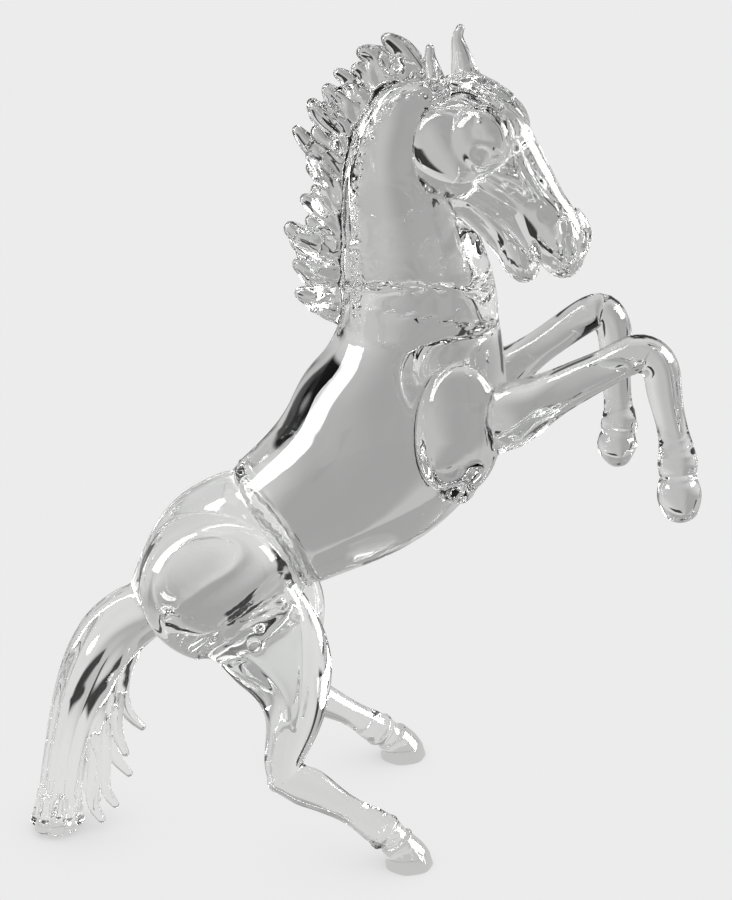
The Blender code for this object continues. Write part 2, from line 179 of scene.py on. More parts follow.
def around(tree, x, y):
    """How far out a place lies, and 1 if squarely on the far side, 0 ahead or behind, -1 on the camera's."""
    out = math_node(tree, "SQRT", math_node(tree, "ADD", math_node(tree, "MULTIPLY", x, x),
                                            math_node(tree, "MULTIPLY", y, y)))
    out = math_node(tree, "MAXIMUM", out, AXIS_GAP)
    return out, math_node(tree, "DIVIDE", y, out)


def shown_to_camera(tree, output, seen, through):
    """The first shader for the camera itself and the second for light that meets the glass."""
    mix = tree.nodes.new("ShaderNodeMixShader")
    tree.links.new(tree.nodes.new("ShaderNodeLightPath").outputs["Is Camera Ray"], mix.inputs[0])
    tree.links.new(through.outputs[0], mix.inputs[1])
    tree.links.new(seen.outputs[0], mix.inputs[2])
    tree.links.new(mix.outputs[0], output.inputs[0])


def build_room():
    """The backdrop: plain for the camera, and the cards and panels for light that meets the glass."""
    world = bpy.data.worlds.new("studio")
    scene.world = world
    world.use_nodes = True
    tree = world.node_tree
    tree.nodes.clear()
    split = tree.nodes.new("ShaderNodeSeparateXYZ")
    tree.links.new(tree.nodes.new("ShaderNodeTexCoord").outputs["Generated"], split.inputs[0])
    x, y, z = split.outputs
    turned = around(tree, x, y)[1]
    facing = math_node(tree, "ABSOLUTE", turned)
    tone = ramp_node(tree, facing, *CARD_TURN, CARD_GREY, CARD_PALE)
    card = math_node(tree, "MULTIPLY", math_node(tree, "MULTIPLY", ramp_node(tree, facing, *CARD_EDGE), tone),
                     ramp_node(tree, z, *CARD_TOP, 1.0, CARD_TOP_SHARE))
    panel = 0.0
    for patch, end in ((TAIL_PANEL, -PANEL_SPLIT), (NOSE_PANEL, PANEL_SPLIT)):
        shape = math_node(tree, "MULTIPLY", patch_node(tree, turned, z, patch), ramp_node(tree, x, 0.0, end))
        panel = math_node(tree, "ADD", panel, shape)
    flag = math_node(tree, "MULTIPLY", patch_node(tree, x, z, ROOM_FLAG), ramp_node(tree, y, *ROOM_FLAG_DEEP))
    card = math_node(tree, "MULTIPLY", card, math_node(tree, "SUBTRACT", 1.0, flag))
    overhead = ramp_node(tree, z, *OVERHEAD_EDGE, 0.0, OVERHEAD_LIGHT)
    tone = math_node(tree, "ADD", math_node(tree, "ADD", card, overhead), ROOM_BLACK)
    tone = math_node(tree, "ADD", tone, math_node(tree, "MULTIPLY", panel, PANEL_LIGHT))
    room = tree.nodes.new("ShaderNodeBackground")
    room.inputs["Color"].default_value = LIGHT_COLOUR
    tree.links.new(tone, room.inputs["Strength"])
    plain = tree.nodes.new("ShaderNodeBackground")
    plain.inputs["Color"].default_value = (PALE, PALE, PALE, 1.0)
    shown_to_camera(tree, tree.nodes.new("ShaderNodeOutputWorld"), plain, room)


def build_floor():
    """The table: pale for the camera and pale with dark strips for the glass, both with painted shade round
    the feet.
    """
    bm = bmesh.new()
    bmesh.ops.create_grid(bm, x_segments=1, y_segments=1, size=FLOOR_HALF)
    bmesh.ops.translate(bm, verts=bm.verts, vec=(0, 0, cad_low[2]))
    mesh = bpy.data.meshes.new("floor")
    bm.to_mesh(mesh)
    bm.free()
    floor = bpy.data.objects.new("floor", mesh)
    scene.collection.objects.link(floor)
    material = bpy.data.materials.new("pale_floor")
    material.use_nodes = True
    tree = material.node_tree
    tree.nodes.clear()
    # Painted contact shadow for the camera: ambient occlusion darkens the floor's glow round the feet.
    shade = tree.nodes.new("ShaderNodeAmbientOcclusion")
    shade.inputs["Distance"].default_value = FLOOR_SHADE_REACH
    seen = tree.nodes.new("ShaderNodeEmission")
    tree.links.new(ramp_node(tree, shade.outputs["AO"], 0.0, 1.0, (1 - FLOOR_SHADE) * PALE, PALE),
                   seen.inputs["Strength"])
    split = tree.nodes.new("ShaderNodeSeparateXYZ")
    tree.links.new(tree.nodes.new("ShaderNodeTexCoord").outputs["Object"], split.inputs[0])
    x, y = split.outputs[:2]
    out, turned = around(tree, x, y)
    far = math_node(tree, "ADD", ramp_node(tree, x, *TABLE_GREY_TURN, CARD_GREY, CARD_PALE),
                    ramp_node(tree, x, *TABLE_PALER_TURN, 0.0, CARD_PALER))
    far = mix_number(tree, ramp_node(tree, x, *TABLE_BEHIND_TURN), far, CARD_PALE)
    # Painted shade for light that meets the glass: ambient occlusion darkens the table's glow under the feet.
    shade = tree.nodes.new("ShaderNodeAmbientOcclusion")
    shade.inputs["Distance"].default_value = TABLE_SHADE_REACH
    painted_shade_share = ramp_node(tree, shade.outputs["AO"], 0.0, TABLE_SHADE_OPEN, TABLE_SHADE, 1.0)
    near = math_node(tree, "MULTIPLY", painted_shade_share,
                     ramp_node(tree, x, *TABLE_TAIL_TURN, TABLE_TAIL_PALE, TABLE_PALE))
    tone = mix_number(tree, ramp_node(tree, out, *TABLE_EDGE), near, far)
    leaning = math_node(tree, "ADD", x, math_node(tree, "MULTIPLY", y, TAIL_STRIP_LEAN))
    leaning_less = math_node(tree, "ADD", x, math_node(tree, "MULTIPLY", y, CREASE_STRIP_LEAN))
    strips = (
        (leaning, TAIL_STRIP), (leaning_less, CREASE_STRIP), (x, KNEE_STRIP), (x, BROW_STRIP),
        (x, CHEEK_STRIP),
    )
    darks = [patch_node(tree, wide, y, strip) for wide, strip in strips]
    facing = math_node(tree, "ABSOLUTE", turned)
    ahead = ramp_node(tree, math_node(tree, "SUBTRACT", x, y), *BACK_STRIP_AHEAD)
    started = math_node(tree, "MULTIPLY", ahead, ramp_node(tree, out, *BACK_STRIP_START))
    darks.append(math_node(tree, "MULTIPLY", band_node(tree, facing, *BACK_STRIP), started))
    for dark in darks:
        tone = math_node(tree, "MULTIPLY", tone, math_node(tree, "SUBTRACT", 1.0, dark))
    through = tree.nodes.new("ShaderNodeEmission")
    through.inputs["Color"].default_value = LIGHT_COLOUR
    tree.links.new(math_node(tree, "ADD", tone, ROOM_BLACK), through.inputs["Strength"])
    shown_to_camera(tree, tree.nodes.new("ShaderNodeOutputMaterial"), seen, through)
    mesh.materials.append(material)


build_room()
build_floor()

# Camera
# It stands about a metre and a half from the horse's right side, a little towards its tail, and looks down.
CAMERA_AZIMUTH = math.radians(-5.0)
CAMERA_ELEVATION = math.radians(24.0)
CAMERA_DISTANCE = 1.6
CAMERA_TARGET = Vector((0.0058, 0.0, 0.20544))
CAMERA_LENS = 128.784
CAMERA_SENSOR = 36.0
camera = bpy.data.objects.new("camera", bpy.data.cameras.new("camera"))
scene.collection.objects.link(camera)
toward_camera = Vector((
    math.sin(CAMERA_AZIMUTH) * math.cos(CAMERA_ELEVATION),
    -math.cos(CAMERA_AZIMUTH) * math.cos(CAMERA_ELEVATION),
    math.sin(CAMERA_ELEVATION),
))
camera.location = CAMERA_TARGET + toward_camera * CAMERA_DISTANCE
camera.rotation_euler = toward_camera.to_track_quat("Z", "Y").to_euler()
camera.data.lens = CAMERA_LENS
camera.data.sensor_width = CAMERA_SENSOR
scene.camera = camera

# Barrel and rump
# The two great gathers of solid glass, blocked smooth, that carry the rest. A gather is drawn here as
# ellipses along a curve, and each row is x, y, z, half its depth and half its width, at the real height
# in millimetres. The figure's middle lies at MIDDLE_X of these rows.
UNIT = 0.001
MIDDLE_X = -5.8
BODY_SPACING = 2.7
RING_STRETCH = 1.35
DOME_SWEEP = math.radians(88)
DOME_LEAST_REACH = 0.5
DOME_RINGS = 1.3
BARREL_ENDS = (0.12, 0.5)
BARREL = (
    (27.0, 0.0, 283.0, 37.0, 26.6),
    (26.0, 0.0, 264.0, 41.5, 31.0),
    (22.0, 0.0, 239.0, 49.0, 36.5),
    (-3.0, 0.0, 197.0, 49.0, 36.5),
    (-27.0, 0.0, 178.5, 41.5, 33.0),
    (-42.0, 0.0, 169.0, 37.5, 31.5),
)
RUMP = (
    (-54.0, 0.0, 162.0, 36.5, 31.0),
    (-68.5, 0.0, 153.0, 38.0, 32.0),
    (-88.0, 0.0, 140.5, 32.0, 28.5),
    (-105.0, 0.0, 129.5, 19.0, 18.5),
)
RUMP_ENDS = (0.5, 0.5)
gathers = bpy.data.collections.new("gathers")
scene.collection.children.link(gathers)
body_place = Matrix.Translation((-MIDDLE_X * UNIT, 0, 0)) @ Matrix.Scale(UNIT, 4)


def spline(rows, spacing):
    """The rows' natural cubic spline, as rows about spacing apart, and its unit tangents."""
    rows = np.array(rows, dtype=float)
    gaps = np.linalg.norm(np.diff(rows[:, :3], axis=0), axis=1)
    knots = np.concatenate(([0.0], np.cumsum(gaps)))
    count = max(4, round(knots[-1] / spacing))
    system = np.eye(len(rows))
    right = np.zeros_like(rows)
    for k in range(1, len(rows) - 1):
        before, after = gaps[k - 1], gaps[k]
        system[k, k - 1:k + 2] = (before, 2 * (before + after), after)
        right[k] = 6 * ((rows[k + 1] - rows[k]) / after - (rows[k] - rows[k - 1]) / before)
    bend = np.linalg.solve(system, right)
    places = np.linspace(0.0, knots[-1], count)
    spans = np.clip(np.searchsorted(knots, places, side="right") - 1, 0, len(gaps) - 1)
    points = []
    tangents = []
    for place, k in zip(places, spans):
        gap = gaps[k]
        b = (place - knots[k]) / gap
        a = 1 - b
        points.append(
            a * rows[k] + b * rows[k + 1] + ((a**3 - a) * bend[k] + (b**3 - b) * bend[k + 1]) * gap**2 / 6
        )
        slope = (rows[k + 1] - rows[k]) / gap
        slope += ((3 * b**2 - 1) * bend[k + 1] - (3 * a**2 - 1) * bend[k]) * gap / 6
        tangents.append(slope[:3] / np.linalg.norm(slope[:3]))
    return points, tangents


def round_off(points, tangents, ends, spacing):
    """The path with a dome at each end, which reaches its share of the half depth past it."""
    points = list(points)
    tangents = list(tangents)
    for at, sign, reach in ((0, -1, ends[0]), (-1, 1, ends[1])):
        base = points[at]
        along = tangents[at]
        rings = max(5, round(base[3] * max(reach, DOME_LEAST_REACH) * DOME_RINGS / spacing))
        dome = []
        for k in range(1, rings + 1):
            angle = DOME_SWEEP * k / rings
            ring = base.copy()
            ring[:3] += sign * along * reach * base[3] * math.sin(angle)
            ring[3:] *= math.cos(angle)
            dome.append(ring)
        if at == 0:
            points = dome[::-1] + points
            tangents = [along] * rings + tangents
        else:
            points = points + dome
            tangents = tangents + [along] * rings
    return points, tangents


def drawn(rows, spacing, ends=(0.7, 0.7), ribs=0, rib_depth=0.0, twist=0.0, level=(0, 1, 0)):
    """A closed bmesh: rings along the rows' spline, bridged, domed at both ends, with ribs if asked.

    The ribs deepen from nothing at the start. level is the way that the half width is measured.
    """
    points, tangents = round_off(*spline(rows, spacing * RING_STRETCH), ends, spacing)
    widest = max(max(point[3], point[4]) for point in points)
    sides = max(8, 4 * round(2 * math.pi * widest / spacing / 4))
    level = Vector(level)
    bm = bmesh.new()
    loops = []
    for number, (point, tangent) in enumerate(zip(points, tangents)):
        along = Vector(tangent)
        across = (level - along * along.dot(level)).normalized()
        above = along.cross(across)
        turn = Matrix((above * point[3], across * point[4], along)).transposed().to_4x4()
        place = Matrix.Translation(Vector(point[:3])) @ turn
        ring = bmesh.ops.create_circle(bm, segments=sides, radius=1.0)["verts"]
        loops.append(list({edge for vert in ring for edge in vert.link_edges}))
        if ribs:
            depth = rib_depth * min(1.0, 2.0 * number / len(points))
            for vert in ring:
                angle = math.atan2(vert.co.y, vert.co.x)
                vert.co *= 1 - depth + depth * math.cos(ribs * angle + twist * number)
        bmesh.ops.transform(bm, matrix=place, verts=ring)
    for near, far in zip(loops, loops[1:]):
        bmesh.ops.bridge_loops(bm, edges=near + far)
    for loop in (loops[0], loops[-1]):
        bmesh.ops.contextual_create(bm, geom=loop)
    return bm


def ball(centre, radii, spacing, flat=2.0):
    """A closed bmesh: a ball with a half size along each axis, its sides pressed flat if flat is above 2."""
    bm = bmesh.new()
    sides = max(12, 4 * round(2 * math.pi * max(radii) / spacing / 4))
    bmesh.ops.create_uvsphere(bm, u_segments=sides, v_segments=sides // 2, radius=1.0)
    for vert in bm.verts:
        vert.co /= (abs(vert.co.y) ** flat + math.hypot(vert.co.x, vert.co.z) ** flat) ** (1 / flat)
    place = Matrix.Translation(centre) @ Matrix.Diagonal((*radii, 1.0))
    bmesh.ops.transform(bm, matrix=place, verts=bm.verts)
    return bm


def add_gather(name, bm, place=body_place, collection=gathers):
    """Puts a gather where it belongs, in metres, and keeps it until all are fused."""
    bmesh.ops.transform(bm, matrix=place, verts=bm.verts)
    bmesh.ops.recalc_face_normals(bm, faces=bm.faces)
    mesh = bpy.data.meshes.new(name)
    bm.to_mesh(mesh)
    bm.free()
    thing = bpy.data.objects.new(name, mesh)
    collection.objects.link(thing)


add_gather("barrel", drawn(BARREL, BODY_SPACING, BARREL_ENDS))
add_gather("rump", drawn(RUMP, BODY_SPACING, RUMP_ENDS))

# Neck
# One gather of glass, drawn up from the withers while it is soft and arched over to the poll, where the
# skull is pressed onto it.
NECK = (
    (26.4, -1.0, 262.0, 37.0, 26.0),
    (26.0, -2.0, 277.0, 38.6, 27.5),
    (21.8, -3.0, 306.6, 35.8, 24.0),
    (16.4, -4.0, 332.7, 30.6, 20.0),
    (12.6, -5.0, 354.4, 25.4, 17.0),
    (14.2, -6.0, 371.2, 21.8, 15.5),
    (21.2, -7.0, 384.6, 18.0, 14.0),
    (31.0, -8.0, 388.0, 13.0, 12.0),
)
NECK_ENDS = (0.4, 0.6)
add_gather("neck", drawn(NECK, BODY_SPACING, NECK_ENDS))

# Haunches and shoulders
# Flattened balls of glass pressed onto the rump, and leaf-shaped pads on the chest that end at the elbow.
# The near haunch's face is pressed in a little more where the thigh leaves it, which makes its dark crease.
HAUNCH_CENTRE = (-76.0, 20.0, 144.0)
HAUNCH_MOVE = {"right": (0.0, 0.0, 0.0), "left": (9.0, 0.0, -8.0)}
HAUNCH_RADIUS = 39.0
HAUNCH_HALF_WIDTH = 23.0
PRESSED_FLAT = 3.0
CREASE_AT = (-78.0, 131.0)
CREASE_WAYS = (math.radians(-51.0), math.radians(-23.0))
CREASE_DEPTH = 0.26
CREASE_RUN = 4.5
SHOULDER = (
    (43.5, 27.0, 245.0, 12.0, 8.0),
    (45.5, 28.0, 233.0, 16.0, 11.0),
    (45.0, 28.5, 214.0, 15.5, 11.5),
    (42.0, 29.0, 197.0, 9.5, 9.0),
)
SHOULDER_ENDS = (0.5, 0.9)
SIDES = (("right", -1), ("left", 1))


def on_side(rows, side):
    """The rows, written for the left side, moved to side: 1 is left and -1 is right."""
    return [(row[0], side * row[1], *row[2:]) for row in rows]


def press_crease(bm, centre):
    """Presses the right haunch's outer face in, past the crease where the thigh leaves it."""
    for vert in bm.verts:
        ahead = vert.co.x - CREASE_AT[0]
        up = vert.co.z - CREASE_AT[1]
        past = min(ahead * math.cos(way) + up * math.sin(way) for way in CREASE_WAYS) / CREASE_RUN
        past = min(1.0, max(0.0, past))
        if vert.co.y < centre.y:
            vert.co.y -= (vert.co.y - centre.y) * CREASE_DEPTH * past * past * (3 - 2 * past)


for name, side in SIDES:
    haunch_at = Vector((HAUNCH_CENTRE[0], side * HAUNCH_CENTRE[1], HAUNCH_CENTRE[2]))
    haunch_at += Vector(HAUNCH_MOVE[name])
    haunch_size = (HAUNCH_RADIUS, HAUNCH_HALF_WIDTH, HAUNCH_RADIUS)
    haunch = ball(haunch_at, haunch_size, BODY_SPACING, PRESSED_FLAT)
    if name == "right":
        press_crease(haunch, haunch_at)
    add_gather(name + "_haunch", haunch)
    add_gather(name + "_shoulder", drawn(on_side(SHOULDER, side), BODY_SPACING, SHOULDER_ENDS))

# Hind limbs
# Each is a thigh gather pulled down to the hock, a cannon bent forward from it, and a hoof pressed flat on
# the table, its wall faintly ribbed. The left one stands a little ahead of the right.
LIMB_SPACING = 1.6
HIND_THIGH = (
    (-66.0, 24.0, 137.0, 29.5, 12.0),
    (-53.0, 28.0, 119.5, 28.0, 10.5),
    (-42.5, 33.5, 101.0, 23.5, 12.5),
    (-39.5, 38.0, 87.0, 17.6, 11.5),
    (-40.4, 40.0, 73.9, 13.8, 10.0),
    (-44.0, 42.0, 60.9, 10.8, 9.0),
    (-46.0, 44.0, 50.6, 8.8, 8.2),
    (-45.6, 44.5, 44.5, 7.4, 7.4),
)
LEFT_HOCK_FORWARD = 11.0
LEFT_HOCK_EASE = 1.5
HIND_CANNON = {
    "right": (
        (-48.5, -44.0, 45.5, 6.8, 6.8),
        (-37.4, -46.0, 43.2, 10.6, 7.8),
        (-24.0, -49.0, 36.6, 8.8, 7.2),
        (-8.0, -52.0, 26.8, 7.4, 6.9),
        (4.5, -54.0, 18.4, 9.0, 8.6),
        (11.0, -55.0, 12.8, 7.6, 7.4),
        (14.6, -55.5, 7.6, 8.4, 9.0),
    ),
    "left": (
        (-35.5, 43.0, 48.5, 6.8, 6.8),
        (-26.0, 45.0, 44.4, 9.0, 7.6),
        (-12.0, 48.0, 35.8, 7.8, 7.0),
        (1.0, 51.0, 26.2, 7.2, 6.9),
        (12.0, 53.5, 17.2, 8.6, 8.4),
        (18.8, 55.0, 11.8, 7.4, 7.4),
        (22.2, 55.5, 7.2, 8.4, 9.0),
    ),
}
HIND_HOOF = ((-4.6, 11.6, 8.6, 9.0), (-1.6, 6.8, 10.4, 10.6), (0.0, 1.6, 12.2, 12.0), (0.6, -2.4, 12.4, 12.2))
HOOF_SPACING = 1.2
HOOF_RIBS = 7
HOOF_RIB_DEPTH = 0.02
THIGH_ENDS = (0.3, 0.5)
CANNON_ENDS = (0.8, 0.4)
HOOF_ENDS = (0.3, 0.1)
SOLE = {"right": (16.5, -56.0), "left": (24.4, 56.0)}
for name, side in SIDES:
    thigh = on_side(HIND_THIGH, side)
    if name == "left":
        shares = [(k / (len(thigh) - 1)) ** LEFT_HOCK_EASE for k in range(len(thigh))]
        thigh = [(row[0] + LEFT_HOCK_FORWARD * share, *row[1:]) for row, share in zip(thigh, shares)]
    hoof = [(SOLE[name][0] + lean, SOLE[name][1], up, deep, wide) for lean, up, deep, wide in HIND_HOOF]
    add_gather(name + "_thigh", drawn(thigh, LIMB_SPACING, THIGH_ENDS))
    add_gather(name + "_hind_cannon", drawn(HIND_CANNON[name], LIMB_SPACING, CANNON_ENDS))
    add_gather(name + "_hind_hoof", drawn(hoof, HOOF_SPACING, HOOF_ENDS, HOOF_RIBS, HOOF_RIB_DEPTH))

# Forelimbs
# Each is one long pull of glass from the shoulder, bent down at the knee, with a swollen fetlock and a hoof
# that hangs free of the ground.
FORELEG = {
    "right": (
        (52.0, -27.0, 226.0, 15.0, 8.0),
        (69.0, -32.0, 236.5, 16.6, 13.0),
        (84.3, -33.0, 244.6, 12.4, 11.0),
        (101.0, -34.0, 253.6, 10.2, 9.5),
        (117.6, -35.0, 262.4, 9.2, 8.6),
        (130.5, -36.0, 267.0, 9.6, 8.8),
        (137.8, -36.0, 262.6, 9.2, 8.6),
        (141.6, -36.0, 250.4, 8.8, 8.0),
        (145.0, -36.0, 234.4, 7.6, 7.0),
        (148.8, -36.0, 218.3, 8.4, 7.5),
        (150.2, -36.0, 208.6, 9.8, 9.0),
        (150.7, -36.0, 201.2, 9.5, 9.2),
        (151.6, -36.0, 192.0, 11.0, 10.2),
        (153.4, -36.0, 181.5, 8.4, 8.2),
    ),
    "left": (
        (50.0, 27.0, 219.0, 14.0, 8.0),
        (66.0, 30.0, 227.5, 15.0, 12.4),
        (80.4, 30.0, 238.0, 10.2, 10.0),
        (95.6, 31.0, 248.8, 8.3, 9.0),
        (111.0, 32.0, 259.2, 8.8, 8.5),
        (121.6, 33.0, 262.4, 9.0, 8.5),
        (127.2, 33.0, 255.4, 9.0, 8.5),
        (129.4, 33.0, 241.1, 8.0, 7.5),
        (130.7, 33.0, 221.8, 7.1, 7.0),
        (132.1, 33.0, 207.0, 8.0, 7.6),
        (132.5, 33.0, 200.0, 9.3, 9.0),
        (132.1, 33.0, 195.6, 9.1, 9.0),
        (131.8, 33.0, 189.4, 10.3, 10.0),
        (132.8, 33.0, 180.6, 6.4, 7.4),
    ),
}
FORELEG_ENDS = (0.3, 0.5)
for name, side in SIDES:
    add_gather(name + "_foreleg", drawn(FORELEG[name], LIMB_SPACING, FORELEG_ENDS))

# Head
# A skull gather with a flat ball of glass on each cheek, turned to the horse's right. Its frame is
# forward, left and up from the middle of the cheek. The mouth and nostrils are cut while it is hot.
HEAD_SPACING = 1.3
HEAD_AT = (41.6, -10.0, 364.3)
HEAD_TURN = math.radians(-27.0)
head_place = body_place @ Matrix.Translation(HEAD_AT) @ Matrix.Rotation(HEAD_TURN, 4, "Z")
SKULL = (
    (-9.0, 0.0, 19.0, 15.0, 12.0),
    (-3.0, 0.0, 14.0, 21.5, 15.5),
    (9.0, 0.0, 3.6, 27.6, 17.0),
    (21.5, 0.0, -7.2, 25.6, 16.0),
    (33.0, 0.0, -17.6, 20.2, 13.4),
    (42.0, 0.0, -27.4, 17.2, 11.6),
    (49.6, 0.0, -36.4, 16.0, 11.6),
    (54.6, 0.0, -44.6, 12.6, 11.4),
    (56.8, 0.0, -51.0, 8.6, 9.0),
)
JAW = (
    (-4.0, 0.0, -8.0, 12.0, 10.0),
    (9.0, 0.0, -21.0, 12.6, 11.0),
    (20.5, 0.0, -34.0, 9.6, 9.0),
    (29.0, 0.0, -45.0, 7.8, 8.2),
    (34.4, 0.0, -52.0, 8.6, 8.8),
    (38.0, 0.0, -57.0, 6.6, 7.4),
)
CHEEK_CENTRE = (-2.5, 9.5, 1.5)
CHEEK_RADIUS = 22.5
CHEEK_HALF_WIDTH = 10.5
ORBIT_CENTRE = (17.0, 11.0, 11.0)
ORBIT_RADII = (15.5, 9.6, 16.0)
BROW = ((13.0, 13.0, 17.0, 5.0, 3.4), (22.0, 14.8, 17.0, 5.6, 4.0), (29.0, 13.0, 9.0, 4.4, 3.4))
EYE_CENTRE = (20.7, 16.4, 6.4)
EYE_RADIUS = 4.8
FACE_RIDGE = ((10.0, 13.5, -7.0, 3.2, 3.0), (24.0, 13.6, -13.5, 3.0, 3.0), (36.0, 10.6, -21.5, 2.4, 2.4))
NOSTRIL_RIM = ((57.5, 7.0, -27.0, 4.0, 4.0), (61.0, 8.6, -36.0, 5.6, 5.0), (60.0, 7.6, -46.0, 4.4, 4.4))
NOSTRIL_HOLE = ((62.0, 11.0, -32.0, 2.6, 3.0), (63.4, 12.8, -38.0, 3.2, 3.4), (63.0, 12.0, -43.0, 2.4, 3.0))
MOUTH = ((42.5, 0.0, -42.5, 0.7, 22.0), (46.6, 0.0, -50.0, 0.9, 22.0), (49.5, 0.0, -62.0, 2.2, 22.0))
EAR = {
    "right": (
        (-4.0, -8.5, 27.0, 4.4, 4.0),
        (-6.0, -10.0, 36.0, 4.8, 4.2),
        (-7.8, -11.0, 43.0, 3.8, 3.4),
        (-8.8, -11.4, 48.5, 2.6, 2.3),
        (-8.8, -11.4, 52.5, 2.0, 1.9),
    ),
    "left": (
        (3.0, 8.5, 27.0, 7.4, 4.6),
        (0.6, 10.5, 37.0, 6.8, 4.8),
        (-2.2, 11.8, 45.5, 4.6, 3.6),
        (-3.8, 12.0, 52.0, 2.6, 2.4),
        (-2.4, 12.0, 56.4, 2.0, 1.9),
    ),
}
EAR_HOLLOW_OFFSET = (4.6, 1.6, 1.5)
EAR_HOLLOW_SIZE = 0.5
SKULL_ENDS = (0.5, 0.6)
MOUTH_ENDS = (0.8, 0.4)
EAR_ENDS = (0.4, 0.9)
cuts = bpy.data.collections.new("cuts")
scene.collection.children.link(cuts)
add_gather("skull", drawn(SKULL, HEAD_SPACING, SKULL_ENDS), head_place)
add_gather("jaw", drawn(JAW, HEAD_SPACING, SKULL_ENDS), head_place)
add_gather("mouth", drawn(MOUTH, HEAD_SPACING, MOUTH_ENDS), head_place, cuts)
for name, side in SIDES:
    cheek_at = (CHEEK_CENTRE[0], side * CHEEK_CENTRE[1], CHEEK_CENTRE[2])
    eye_at = (EYE_CENTRE[0], side * EYE_CENTRE[1], EYE_CENTRE[2])
    hollow = [
        (row[0] + EAR_HOLLOW_OFFSET[0], row[1] + side * EAR_HOLLOW_OFFSET[1], row[2] + EAR_HOLLOW_OFFSET[2],
         row[3] * EAR_HOLLOW_SIZE, row[4] * EAR_HOLLOW_SIZE)
        for row in EAR[name][1:4]
    ]
    cheek_size = (CHEEK_RADIUS, CHEEK_HALF_WIDTH, CHEEK_RADIUS)
    add_gather(name + "_cheek", ball(cheek_at, cheek_size, HEAD_SPACING, PRESSED_FLAT), head_place)
    orbit_at = (ORBIT_CENTRE[0], side * ORBIT_CENTRE[1], ORBIT_CENTRE[2])
    add_gather(name + "_orbit", ball(orbit_at, ORBIT_RADII, HEAD_SPACING, PRESSED_FLAT), head_place)
    add_gather(name + "_eye", ball(eye_at, (EYE_RADIUS,) * 3, HEAD_SPACING), head_place)
    add_gather(name + "_brow", drawn(on_side(BROW, side), HEAD_SPACING), head_place)
    add_gather(name + "_face_ridge", drawn(on_side(FACE_RIDGE, side), HEAD_SPACING), head_place)
    add_gather(name + "_nostril", drawn(on_side(NOSTRIL_RIM, side), HEAD_SPACING), head_place)
    add_gather(name + "_nostril_hole", drawn(on_side(NOSTRIL_HOLE, side), HEAD_SPACING), head_place, cuts)
    add_gather(name + "_ear", drawn(EAR[name], HEAD_SPACING, EAR_ENDS), head_place)
    add_gather(name + "_ear_hollow", drawn(hollow, HEAD_SPACING), head_place, cuts)

# Forelock and mane
# Strands drawn out one by one, ribbed by the jacks that pulled them, and laid back from a low bed of glass
# along the crest, with slighter ones between them. Four more make the forelock. A value that ends in STEP
# moves on from strand to strand, so that no two are alike.
LOCK_SPACING = 1.45
FORELOCK_SPACING = 0.8
FORELOCK_TIPS = ((26.0, -9.0, 27.0), (29.0, -3.0, 29.0), (27.0, 4.0, 28.0), (20.0, 10.0, 27.0))
FORELOCK_ROOT = (-3.0, 0.0, 33.0)
FORELOCK_RISE = 4.0
FORELOCK_SPREAD = 0.2
FORELOCK_RADIUS = 3.0
FORELOCK_TAPER = ((1.3, 1.3), (1.1, 1.3), (0.7, 0.8))
CREST_SPACING = 0.7
MANE_TIPS = (
    (7.4, 421.0), (-4.0, 415.0), (-15.6, 407.0), (-20.4, 397.6), (-27.6, 388.5), (-35.5, 378.0),
    (-28.5, 366.0), (-28.0, 356.0), (-32.0, 342.0), (-40.6, 328.5), (-37.6, 318.0), (-36.6, 306.0),
    (-36.0, 293.5), (-29.0, 283.0),
)
MANE_FIRST_SHARE = 0.98
MANE_LAST_SHARE = 0.20
MANE_HALF_DEPTH = 6.6
MANE_HALF_WIDTH = 4.2
MANE_SPLAY = 7.0
MANE_SPLAY_STEP = 1.9
MANE_SPLAY_START = 0.6
MANE_TIP_SHARE = 0.6
MANE_TAPER = ((1.25, 1.5), (1.15, 1.25), (1.0, 1.05), (MANE_TIP_SHARE, 0.85))
MANE_NEAR = (0.36, 0.2)
MANE_FAR = (0.70, 0.5)
MANE_UNEVEN = 0.16
MANE_UNEVEN_STEP = 2.3
MANE_ENDS = (0.4, 0.9)
MANE_LIFT = 2.5
MANE_DROOP = 5.0
MANE_INSET = 4.0
MANE_BED_DEPTH = 8.0
MANE_BED_WIDTH = 6.0
MANE_BED_ENDS = (0.6, 0.6)
MANE_RIBS = 7
MANE_RIB_DEPTH = 0.13
MANE_TWIST = 0.06
BETWEEN_REACH = 0.80
BETWEEN_UNEVEN = 0.1
BETWEEN_UNEVEN_STEP = 3.1
BETWEEN_SIDE = 4.0
BETWEEN_SIZE = 0.92
MANE_WAVE = 1.6
MANE_WAVE_STEP = 1.1
BETWEEN_WAVE_STEP = 1.7


def tapered(places, half_depth, half_width, taper):
    """The rows of a strand through the places, its half sizes times the taper's share at each."""
    return [(*at, half_depth * deep, half_width * wide) for at, (deep, wide) in zip(places, taper)]


def crest_point(share):
    """A place just inside the neck's crest, at a share of the way from its foot to the poll."""
    points, tangents = spline(NECK, CREST_SPACING)
    at = round(share * (len(points) - 1))
    back = Vector((-tangents[at][2], 0, tangents[at][0])).normalized()
    return Vector(points[at][:3]) + back * (points[at][3] - MANE_INSET)


for number, tip in enumerate(FORELOCK_TIPS):
    middle = (Vector(FORELOCK_ROOT) + Vector(tip)) / 2 + Vector((0, FORELOCK_SPREAD * tip[1], FORELOCK_RISE))
    rows = tapered((FORELOCK_ROOT, middle, tip), FORELOCK_RADIUS, FORELOCK_RADIUS, FORELOCK_TAPER)
    lock = drawn(rows, FORELOCK_SPACING, ribs=MANE_RIBS, rib_depth=MANE_RIB_DEPTH)
    add_gather(f"forelock_{number + 1}", lock, head_place)


